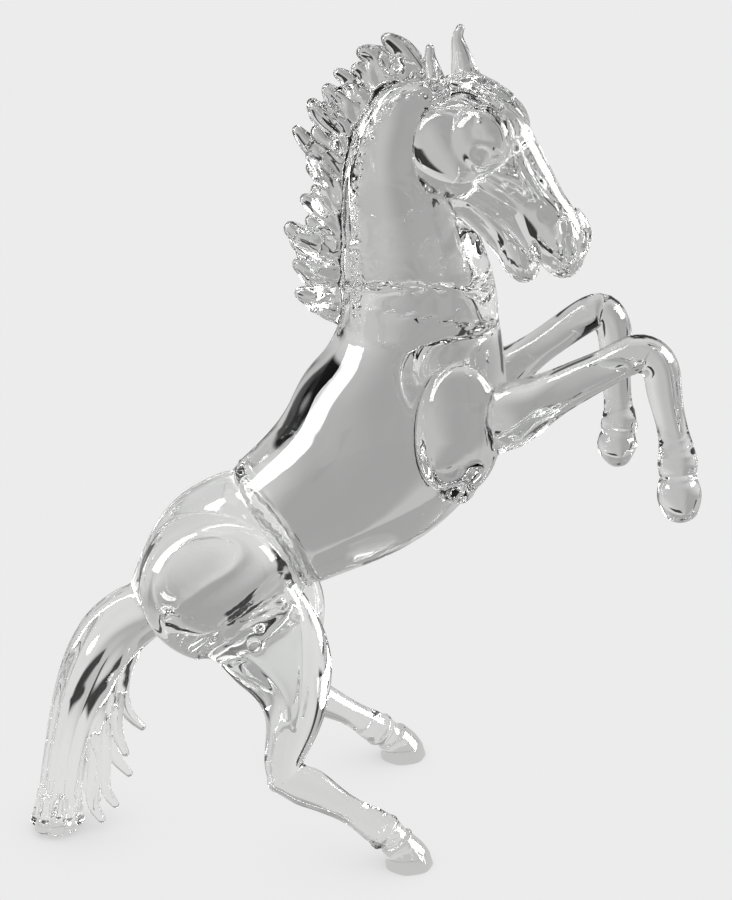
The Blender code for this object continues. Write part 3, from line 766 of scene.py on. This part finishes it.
def mane_strand(name, root, tip, half_depth, splay, wave):
    """A ribbed strand from the crest to its tip, bowed to one side and waved along its length.

    The high strands arch up before they fall, and the low ones hang.
    """
    lift = MANE_LIFT - MANE_DROOP * min(1.0, max(0.0, (crest[0].z - root.z) / (crest[0].z - crest[-1].z)))
    tip = tip - (tip - root).normalized() * half_depth * MANE_TIP_SHARE
    along = (tip - root).normalized()
    rise = Vector((-along.z, 0, along.x)) * wave
    near = root.lerp(tip, MANE_NEAR[0]) + Vector((0, MANE_NEAR[1] * splay, lift)) + rise
    far = root.lerp(tip, MANE_FAR[0]) + Vector((0, MANE_FAR[1] * splay, lift)) - rise
    rows = tapered((root, near, far, tip), half_depth, MANE_HALF_WIDTH, MANE_TAPER)
    add_gather(name, drawn(rows, LOCK_SPACING, MANE_ENDS, MANE_RIBS, MANE_RIB_DEPTH, MANE_TWIST))


strands = len(MANE_TIPS)
mane_run = MANE_LAST_SHARE - MANE_FIRST_SHARE
crest = [crest_point(MANE_FIRST_SHARE + mane_run * k / (strands - 1)) for k in range(strands)]
mane_bed = [(*root, MANE_BED_DEPTH, MANE_BED_WIDTH) for root in crest]
add_gather("mane_bed", drawn(mane_bed, LOCK_SPACING, MANE_BED_ENDS))
tips = []
for number, (root, (tip_x, tip_z)) in enumerate(zip(crest, MANE_TIPS)):
    splay = MANE_SPLAY * math.sin(MANE_SPLAY_STEP * number + MANE_SPLAY_START)
    tips.append(Vector((tip_x, root.y + splay, tip_z)))
    half_depth = MANE_HALF_DEPTH * (1 + MANE_UNEVEN * math.sin(MANE_UNEVEN_STEP * number))
    wave = MANE_WAVE * math.sin(MANE_WAVE_STEP * number)
    mane_strand(f"mane_{number + 1}", root, tips[-1], half_depth, splay, wave)
for number in range(strands - 1):
    root = crest[number].lerp(crest[number + 1], 0.5)
    splay = BETWEEN_SIDE * (1 if number % 2 else -1)
    reach = BETWEEN_REACH + BETWEEN_UNEVEN * math.sin(BETWEEN_UNEVEN_STEP * number)
    tip = root.lerp(tips[number].lerp(tips[number + 1], 0.5), reach)
    tip.y = root.y + splay
    wave = -MANE_WAVE * math.cos(BETWEEN_WAVE_STEP * number)
    mane_strand(f"mane_between_{number + 1}", root, tip, MANE_HALF_DEPTH * BETWEEN_SIZE, splay, wave)

# Tail
# One thick gather run down to the table, its end pressed flat and folded as a third foot, with thin strands
# drawn free of its front.
TAIL = (
    (-100.0, 0.0, 126.0, 13.0, 13.0),
    (-112.0, 0.0, 121.5, 15.6, 14.0),
    (-126.0, -1.0, 112.0, 17.2, 13.6),
    (-139.0, -2.0, 92.6, 17.0, 12.8),
    (-149.0, -3.0, 68.4, 14.0, 11.8),
    (-155.0, -4.0, 44.0, 12.4, 11.0),
    (-158.6, -4.5, 21.7, 11.8, 11.0),
    (-160.2, -5.0, 7.0, 11.0, 10.8),
    (-160.8, -5.0, -3.0, 11.6, 11.2),
)
TAIL_STRANDS = (
    (0.36, (-127.5, -5.0, 72.0), (-124.5, -7.0, 44.0)),
    (0.33, (-125.0, 3.0, 74.0), (-115.5, 5.0, 52.0)),
    (0.48, (-132.5, 4.0, 50.0), (-123.0, 6.0, 24.5)),
    (0.54, (-135.5, -5.0, 36.0), (-130.8, -6.0, 13.5)),
    (0.62, (-141.0, -8.0, 28.0), (-138.0, -11.0, 8.0)),
    (0.66, (-144.0, 7.0, 26.0), (-140.0, 11.0, 7.0)),
)
STRAND_HALF_DEPTH = 3.8
STRAND_HALF_WIDTH = 3.6
STRAND_RUN = 0.24
STRAND_ROOTS = ((1.0, 0.55), (0.4, 0.80))
STRAND_ROOT_SIDE = 0.6
STRAND_BEND_AT = 0.6
STRAND_HOOK = (-2.2, 0.0, -1.6)
STRAND_TAPER = ((0.9, 0.9), (1.1, 1.1), (1.0, 1.0), (0.8, 0.8), (0.56, 0.56))
STRAND_ENDS = (0.9, 1.2)
FOOT_FOLDS = 8
FOOT_FOLD_TOP = 24.0
FOOT_FOLD_DROP = 5.0
FOOT_FOLD_DROP_STEP = 1.7
FOOT_FOLD_MIDDLE = 0.45
FOOT_FOLD_END = 4.0
FOOT_FOLD_OUT = (9.0, 9.8, 10.8)
FOOT_FOLD_RADIUS = 3.6
FOOT_FOLD_UNEVEN = 0.8
FOOT_FOLD_UNEVEN_STEP = 2.6
FOOT_FOLD_TAPER = ((0.8, 0.8), (1.0, 1.0), (1.2, 1.2))
FOOT_FOLD_ENDS = (0.9, 0.5)
TAIL_RIBS = 7
TAIL_RIB_DEPTH = 0.10
TAIL_TWIST = 0.008
TAIL_MIDDLE_SPACING = 1.0
TAIL_ENDS = (0.4, 0.1)
add_gather("tail", drawn(TAIL, LIMB_SPACING, TAIL_ENDS, TAIL_RIBS, TAIL_RIB_DEPTH, TAIL_TWIST))
tail_middle, tail_ways = spline(TAIL, TAIL_MIDDLE_SPACING)
for number, (share, middle, tip) in enumerate(TAIL_STRANDS):
    places = []
    for back, out in STRAND_ROOTS:
        at = round((share - STRAND_RUN * back) * (len(tail_middle) - 1))
        side = Vector((-tail_ways[at][2], 0, tail_ways[at][0]))
        inside = Vector(tail_middle[at][:3]) + Vector((0, middle[1] * STRAND_ROOT_SIDE, 0))
        places.append(inside + side * out * tail_middle[at][3])
    bend = Vector(middle).lerp(Vector(tip), STRAND_BEND_AT) + Vector(STRAND_HOOK)
    rows = tapered((*places, middle, bend, tip), STRAND_HALF_DEPTH, STRAND_HALF_WIDTH, STRAND_TAPER)
    add_gather(f"tail_strand_{number + 1}", drawn(rows, LOCK_SPACING, STRAND_ENDS))
for number in range(FOOT_FOLDS):
    turn = 2 * math.pi * number / FOOT_FOLDS
    way = Vector((math.cos(turn), math.sin(turn), 0.0))
    radius = FOOT_FOLD_RADIUS + FOOT_FOLD_UNEVEN * math.sin(FOOT_FOLD_UNEVEN_STEP * number)
    top = FOOT_FOLD_TOP - FOOT_FOLD_DROP * math.sin(FOOT_FOLD_DROP_STEP * number) ** 2
    heights = (top, top * FOOT_FOLD_MIDDLE, FOOT_FOLD_END)
    places = [Vector((*row[:2], up)) + way * out for row, up, out in zip(TAIL[-3:], heights, FOOT_FOLD_OUT)]
    fold = tapered(places, radius, radius, FOOT_FOLD_TAPER)
    add_gather(f"foot_fold_{number + 1}", drawn(fold, LOCK_SPACING, FOOT_FOLD_ENDS))

# Seams, pinches and threads
# Where one gather was pressed onto the next a thread of glass is trailed over the join and pinched, or a
# groove is pressed beside it. Threads, drops and grooves lie on the skin, so each is given side-on, as x and
# z, and finds its own depth.
THREAD_SPACING = 1.3
THREAD_ENDS = (0.8, 0.8)
THREAD_SINK = 0.3
GROOVE_SPACING = 0.9
GROOVE_END = 0.35
GROOVE_ENDS = (0.6, 0.6)
BEAD_FLAT = 0.8
BRAID_WAVE = 1.1
BRAID_TURN = 1.1
BRAID_RISE = 0.5
BRAID_SPACING = 2.4
SKIN_REACH = 80.0
LOOP_STEPS = 14
CUFF_STEPS = 16
CUFF_UNEVEN = 0.03
NECK_SEAM_CENTRE = (26.0, -2.0)
NECK_SEAM_HALF = (37.6, 27.0)
NECK_SEAM_TOP = 289.0
NECK_SEAM_DROP = 22.0
NECK_SEAM_BACK = -12.0
NECK_SEAM_LENGTH = 77.0
NECK_SEAM_STEPS = 60
NECK_SEAM_WIND = 0.42
NECK_SEAM_WAVE = 1.5
NECK_SEAM_RADIUS = 1.2
PAD_CENTRE = (43.0, 31.5, 228.0)
PAD_RADII = (20.5, 10.5, 34.0)
BODY_TRAILS = (
    ("rump_crease", 1.5, (
        (-61.5, 195.5), (-58.5, 190.0), (-52.0, 184.0), (-42.5, 172.0), (-35.0, 156.0), (-31.0, 143.0),
    )),
    ("chest_fold", 1.6, ((46.0, 258.5), (47.5, 264.5), (52.0, 269.0), (58.0, 269.5))),
    ("haunch_edge", 1.6, ((-90.0, 117.0), (-82.0, 124.5), (-72.0, 130.0), (-60.0, 134.5), (-48.0, 139.0))),
    ("thigh_ridge", 1.8, ((-42.5, 146.0), (-36.5, 133.0), (-35.5, 116.5), (-37.0, 95.5), (-40.0, 78.0))),
    ("thigh_back", 1.6, ((-70.0, 114.5), (-60.5, 111.0), (-52.0, 104.0), (-45.0, 93.5), (-43.5, 82.5))),
    ("gaskin", 1.4, ((-44.0, 74.0), (-46.0, 59.5), (-46.5, 48.5))),
    ("forearm", 1.0, ((60.0, 236.5), (80.0, 239.5), (95.0, 247.5), (109.5, 254.0), (119.0, 259.0))),
)
BODY_GROOVES = (
    ("pad_groove", 1.5, (
        (44.0, 263.5), (35.0, 261.0), (26.5, 252.0), (22.0, 238.0), (21.5, 222.0), (25.0, 207.0),
        (33.0, 196.5),
    )),
)
KNEE_GROOVES = {
    "right": ((128.5, 259.0), (130.5, 265.0), (133.0, 271.0)),
    "left": ((119.0, 256.5), (121.5, 261.0), (125.0, 266.0)),
}
KNEE_GROOVE_RADIUS = 1.2
HOOF_GROOVES = (
    ((-4.0, 10.0), (-3.5, 6.0), (-4.5, 2.5)), ((0.5, 11.0), (2.5, 7.0), (3.0, 3.0)),
    ((4.0, 11.0), (7.0, 7.5), (8.5, 3.5)),
)
HOOF_GROOVE_RADIUS = 1.0
FORE_CUFFS = ((9, 0.9, 0.98), (10, 1.2, 0.96))
FORE_CORONET = (11, 1.7, 1.06)
HIND_CUFFS = ((4, 1.5, 1.02), (5, 1.3, 1.15))
BODY_BEADS = (
    (-59.0, 119.0, 4.0), (-56.0, 127.0, 2.4), (-45.0, 139.0, 3.2), (-38.0, 133.0, 2.6), (-30.0, 141.0, 2.4),
    (-58.0, 188.0, 2.4), (-50.0, 181.0, 2.0), (40.0, 196.0, 3.2), (45.0, 193.5, 2.6), (60.0, 222.0, 2.6),
    (68.0, 228.0, 2.2), (52.0, 268.0, 2.4), (57.0, 262.0, 2.0),
)
FETLOCK_ROW = 4
FETLOCK_BEADS = (
    (-6.5, -1.0, 2.4), (-4.0, -5.5, 2.0), (-2.0, 4.5, 2.0), (3.0, -2.0, 1.7), (5.5, 2.0, 1.9),
    (0.5, -7.5, 1.8), (8.5, -3.5, 1.7),
)
CREST_BEADS = 46
CREST_BEAD_RADIUS = 1.9
CREST_BEAD_UNEVEN = 0.3
CREST_BEAD_UNEVEN_STEP = 4.1
CREST_BEAD_INSET = 3.4
CREST_BEAD_WANDER = 1.4
CREST_BEAD_WANDER_STEP = 2.7
CREST_BEAD_FALL = 12.0
skin = []


def read_skin():
    """Takes the outside of every gather so far as what threads and beads lie on."""
    skin.clear()
    view = bpy.context.evaluated_depsgraph_get()
    skin.extend(BVHTree.FromObject(thing, view) for thing in gathers.objects)


def on_skin(x, z, side, place=body_place):
    """The outermost glass at x and z of a frame, seen from its left (1) or right (-1) side."""
    start = place @ Vector((x, side * SKIN_REACH, z))
    toward = (place.to_3x3() @ Vector((0, -side, 0))).normalized()
    hits = [hit for hit in (tree.ray_cast(start, toward) for tree in skin) if hit[0] is not None]
    if not hits:
        return None
    at = place.inverted() @ min(hits, key=lambda hit: hit[3])[0]
    return at if side * at.y > 0 else None


def groove(name, radius, places, side, place=body_place):
    """A groove pressed into the skin through the places, deepest at its middle."""
    found = [at for at in (on_skin(x, z, side, place) for x, z in places) if at is not None]
    rows = []
    for number, at in enumerate(found):
        size = radius * (GROOVE_END + (1 - GROOVE_END) * math.sin(math.pi * number / (len(found) - 1)))
        rows.append((*at, size, size))
    add_gather(name, drawn(rows, GROOVE_SPACING, GROOVE_ENDS), place, cuts)


def trail(name, radius, places, side, place=body_place, braid=False):
    """A thread laid over the skin through the places, or two that wind round each other."""
    found = [on_skin(x, z, side, place) for x, z in places]
    rows = [(*at, radius, radius) for at in found if at is not None]
    for strand in range(2 if braid else 1):
        wound = []
        for number, row in enumerate(spline(rows, BRAID_SPACING)[0] if braid else rows):
            turn = BRAID_TURN * number + math.pi * strand
            wave = BRAID_WAVE * radius if braid else 0.0
            y = row[1] - side * THREAD_SINK * radius + side * wave * math.cos(turn) * BRAID_RISE
            wound.append((row[0], y, row[2] + wave * math.sin(turn), row[3], row[4]))
        add_gather(f"{name}_{strand + 1}", drawn(wound, THREAD_SPACING, THREAD_ENDS), place)


def bead(name, x, z, radius, side, place=body_place):
    """A drop of glass half sunk in the skin."""
    at = on_skin(x, z, side, place)
    if at is not None:
        add_gather(name, ball(at, (radius, radius * BEAD_FLAT, radius), THREAD_SPACING), place)


def loop(name, centre, half, radius, side, place):
    """A closed ring of thread on the skin."""
    turns = [2 * math.pi * step / (LOOP_STEPS - 1) for step in range(LOOP_STEPS)]
    places = [(centre[0] + half[0] * math.cos(turn), centre[1] + half[1] * math.sin(turn)) for turn in turns]
    trail(name, radius, places, side, place)


def cuff(name, row, after, radius, grow, collection=gathers):
    """A ring of thread, or a cut, round a limb at one of its rows, square to the way to the row after."""
    along = (Vector(after[:3]) - Vector(row[:3])).normalized()
    across = (Vector((0, 1, 0)) - along * along.y).normalized()
    above = along.cross(across)
    rows = []
    for step in range(CUFF_STEPS + 1):
        turn = 2 * math.pi * step / CUFF_STEPS
        reach = grow + CUFF_UNEVEN * math.sin(3 * turn + row[0])
        out = above * row[3] * math.cos(turn) + across * row[4] * math.sin(turn)
        rows.append((*(Vector(row[:3]) + out * reach), radius, radius))
    add_gather(name, drawn(rows, THREAD_SPACING, THREAD_ENDS, level=along), body_place, collection)


read_skin()
for strand in range(2):
    seam = []
    for step in range(NECK_SEAM_STEPS + 1):
        turn = 2 * math.pi * step / NECK_SEAM_STEPS
        wind = NECK_SEAM_WIND * step * math.pi + math.pi * strand
        x = NECK_SEAM_CENTRE[0] + (NECK_SEAM_HALF[0] + math.cos(wind)) * math.cos(turn)
        y = NECK_SEAM_CENTRE[1] + (NECK_SEAM_HALF[1] + math.cos(wind)) * math.sin(turn)
        z = NECK_SEAM_TOP - NECK_SEAM_DROP * (max(0.0, x - NECK_SEAM_BACK) / NECK_SEAM_LENGTH) ** 3
        seam.append((x, y, z + NECK_SEAM_WAVE * math.sin(wind), NECK_SEAM_RADIUS, NECK_SEAM_RADIUS))
    add_gather(f"neck_seam_{strand + 1}", drawn(seam, THREAD_SPACING, level=(0, 0, 1)))
for name, side in SIDES:
    pad_at = (PAD_CENTRE[0], side * PAD_CENTRE[1], PAD_CENTRE[2])
    add_gather(name + "_pad", ball(pad_at, PAD_RADII, BODY_SPACING))
read_skin()
for name, side in SIDES:
    for kind, radius, places in BODY_GROOVES:
        groove(f"{name}_{kind}", radius, places, side)
    groove(f"{name}_knee_groove", KNEE_GROOVE_RADIUS, KNEE_GROOVES[name], side)
    for number, places in enumerate(HOOF_GROOVES):
        places = [(SOLE[name][0] + ahead, up) for ahead, up in places]
        groove(f"{name}_hoof_groove_{number + 1}", HOOF_GROOVE_RADIUS, places, side)
    for kind, radius, places in BODY_TRAILS:
        trail(f"{name}_{kind}", radius, places, side, braid=kind == "rump_crease")
    for number, (x, z, radius) in enumerate(BODY_BEADS):
        bead(f"{name}_bead_{number + 1}", x, z, radius, side)
    for number in range(CREST_BEADS):
        share = MANE_LAST_SHARE + (MANE_FIRST_SHARE - MANE_LAST_SHARE) * number / (CREST_BEADS - 1)
        root = crest_point(share)
        inward = (Vector((NECK[2][0], 0, root.z - CREST_BEAD_FALL)) - root).normalized()
        wander = CREST_BEAD_WANDER * math.sin(CREST_BEAD_WANDER_STEP * number + side)
        at = root + inward * (CREST_BEAD_INSET + wander)
        radius = CREST_BEAD_RADIUS * (1 + CREST_BEAD_UNEVEN * math.sin(CREST_BEAD_UNEVEN_STEP * number))
        bead(f"{name}_crest_bead_{number + 1}", at.x, at.z, radius, side)
    foreleg = FORELEG[name]
    for number, (row, radius, grow) in enumerate(FORE_CUFFS):
        cuff(f"{name}_fore_cuff_{number + 1}", foreleg[row], foreleg[row + 1], radius, grow)
    row, radius, grow = FORE_CORONET
    cuff(f"{name}_fore_coronet", foreleg[row], foreleg[row + 1], radius, grow, cuts)
    cannon = HIND_CANNON[name]
    for number, (row, radius, grow) in enumerate(HIND_CUFFS):
        cuff(f"{name}_hind_cuff_{number + 1}", cannon[row], cannon[row + 1], radius, grow)
    fetlock = cannon[FETLOCK_ROW]
    for number, (ahead, up, radius) in enumerate(FETLOCK_BEADS):
        bead(f"{name}_fetlock_bead_{number + 1}", fetlock[0] + ahead, fetlock[2] + up, radius, side)

# The horse's face
# The same threads and grooves make the eyelids, the crest of the cheek, the edge of the nose, the folds of
# the lips and nostrils, the creases of the chin and the finest strands of the forelock. Places are forward
# and up in the head's frame.
FACE_TRAILS = (
    ("cheek_crest", 1.2, ((23.0, -6.0), (31.0, -11.0), (38.5, -17.5))),
    ("nose_edge", 1.3, ((33.0, 12.0), (37.0, 4.0), (41.0, -4.0), (47.0, -13.5), (53.5, -21.0))),
    ("jaw_line", 1.4, ((11.0, -23.0), (19.0, -29.0), (26.5, -36.0), (31.0, -44.0))),
    ("lip_fold", 1.3, ((47.5, -35.0), (53.0, -40.5), (59.5, -44.0), (63.0, -47.0))),
    ("upper_lip", 1.7, ((50.0, -49.0), (56.0, -53.0), (60.5, -51.0))),
    ("chin_1", 2.0, ((31.5, -42.0), (34.0, -50.0), (37.5, -57.0))),
    ("chin_2", 1.8, ((36.5, -44.0), (39.0, -51.0), (41.5, -57.0))),
    ("chin_3", 1.5, ((28.0, -44.0), (29.5, -50.0), (33.0, -57.0))),
)
FACE_GROOVES = (
    ("nose_groove", 1.3, ((34.0, 5.0), (38.5, -4.0), (44.0, -12.5), (49.5, -19.5))),
    ("jaw_groove", 1.2, ((12.0, -27.5), (19.5, -33.5), (26.5, -41.0))),
)
FACE_LOOPS = (
    ("eyelid", (20.7, 6.4), (6.6, 5.8), 1.5), ("tear", (29.6, -1.6), (3.2, 2.6), 0.8),
    ("muzzle", (49.6, -22.4), (4.8, 5.4), 1.0), ("nostril_fold", (60.2, -37.0), (4.4, 8.6), 1.2),
)
FORELOCK_THREADS = 5
FORELOCK_THREAD = ((-6.0, 29.0), (7.0, 33.0), (19.0, 29.5))
FORELOCK_THREAD_GAP = 1.9
FORELOCK_THREAD_RADIUS = 0.9
FORELOCK_THREAD_UNEVEN = 0.3
FAR_CHEEK_SHARE = 0.6
read_skin()
for name, side in SIDES:
    share = FAR_CHEEK_SHARE if name == "left" else 1.0
    for kind, radius, places in FACE_GROOVES:
        groove(f"{name}_{kind}", radius * share, places, side, head_place)
    for kind, radius, places in FACE_TRAILS:
        trail(f"{name}_{kind}", radius * share, places, side, head_place)
    for kind, centre, half, radius in FACE_LOOPS:
        loop(f"{name}_{kind}", centre, half, radius * share, side, head_place)
    for number in range(FORELOCK_THREADS):
        start, middle, end = [(x, z - FORELOCK_THREAD_GAP * number) for x, z in FORELOCK_THREAD]
        places = ((start[0] - number, start[1]), (middle[0], middle[1] + 2 * math.sin(number)), end)
        radius = FORELOCK_THREAD_RADIUS + FORELOCK_THREAD_UNEVEN * math.sin(2 * number)
        trail(f"{name}_forelock_{number + 1}", radius, places, side, head_place)

# The fused horse
# The gathers are one body of clear glass once they have melted together. Fire polish rounds every join, and
# hooves and tail are pressed flat where they stand.
GLASS_IOR = 1.5
GLASS_COLOUR = (0.985, 0.992, 0.99, 1.0)
CORD_SCALE = 60.0
CORD_DETAIL = 1.0
CORD_STRETCH = (1.0, 1.0, 0.3)
CORD_HEIGHT = 0.0003
WELD = 0.00012
CREASE_ANGLE = math.radians(24)
CREASE_RINGS = 2
CREASE_PASSES = 7
CREASE_SMOOTH = 0.5
FLOOR_BLOCK = (900.0, 900.0, 100.0)
floor_cut = bmesh.new()
block_place = Matrix.Translation((0, 0, -FLOOR_BLOCK[2] / 2)) @ Matrix.Diagonal((*FLOOR_BLOCK, 1.0))
bmesh.ops.create_cube(floor_cut, size=1.0, matrix=block_place)
add_gather("floor_cut", floor_cut, body_place, cuts)


def fuse():
    """All gathers as one mesh, with the cuts made."""
    blank = gathers.objects["barrel"]
    gathers.objects.unlink(blank)
    scene.collection.objects.link(blank)
    for operation, operands in (("UNION", gathers), ("DIFFERENCE", cuts)):
        boolean = blank.modifiers.new(operation, "BOOLEAN")
        boolean.operation = operation
        boolean.solver = "MANIFOLD"
        boolean.operand_type = "COLLECTION"
        boolean.collection = operands
    bpy.context.view_layer.update()
    mesh = bpy.data.meshes.new_from_object(blank.evaluated_get(bpy.context.evaluated_depsgraph_get()))
    for thing in [blank, *gathers.objects, *cuts.objects]:
        bpy.data.objects.remove(thing, do_unlink=True)
    for collection in (gathers, cuts):
        bpy.data.collections.remove(collection)
    return mesh


def soften(mesh):
    """Rounds the creases where gathers met and the edges of the cuts, as a flame does."""
    bm = bmesh.new()
    bm.from_mesh(mesh)
    bmesh.ops.remove_doubles(bm, verts=bm.verts, dist=WELD)
    creases = [edge for edge in bm.edges if abs(edge.calc_face_angle_signed(0)) > CREASE_ANGLE]
    sharp = {vert for edge in creases for vert in edge.verts}
    for ring in range(CREASE_RINGS):
        sharp |= {other for vert in sharp for edge in vert.link_edges for other in edge.verts}
    sharp = [vert for vert in sharp if vert.co.z > cad_low[2] + WELD]
    for pass_number in range(CREASE_PASSES):
        bmesh.ops.smooth_vert(
            bm, verts=sharp, factor=CREASE_SMOOTH, use_axis_x=True, use_axis_y=True, use_axis_z=True,
        )
    bmesh.ops.recalc_face_normals(bm, faces=bm.faces)
    bm.to_mesh(mesh)
    bm.free()


def make_glass():
    """Clear glass with the faint cords that gathering leaves in it, longer upwards than they are wide."""
    glass = bpy.data.materials.new("clear_glass")
    glass.use_nodes = True
    tree = glass.node_tree
    shader = tree.nodes["Principled BSDF"]
    stretch = tree.nodes.new("ShaderNodeMapping")
    stretch.inputs["Scale"].default_value = CORD_STRETCH
    tree.links.new(tree.nodes.new("ShaderNodeTexCoord").outputs["Object"], stretch.inputs["Vector"])
    cords = tree.nodes.new("ShaderNodeTexNoise")
    cords.inputs["Scale"].default_value = CORD_SCALE
    cords.inputs["Detail"].default_value = CORD_DETAIL
    tree.links.new(stretch.outputs["Vector"], cords.inputs["Vector"])
    bump = tree.nodes.new("ShaderNodeBump")
    bump.inputs["Distance"].default_value = CORD_HEIGHT
    tree.links.new(cords.outputs["Fac"], bump.inputs["Height"])
    tree.links.new(bump.outputs["Normal"], shader.inputs["Normal"])
    shader.inputs["Base Color"].default_value = GLASS_COLOUR
    shader.inputs["Roughness"].default_value = 0.0
    shader.inputs["IOR"].default_value = GLASS_IOR
    shader.inputs["Transmission Weight"].default_value = 1.0
    return glass


mesh = fuse()
mesh.name = "glass_horse"
soften(mesh)
mesh.shade_smooth()
mesh.materials.clear()
mesh.materials.append(make_glass())
horse = bpy.data.objects.new("glass_horse", mesh)
scene.collection.objects.link(horse)
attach(horse, "root")
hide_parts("horse")
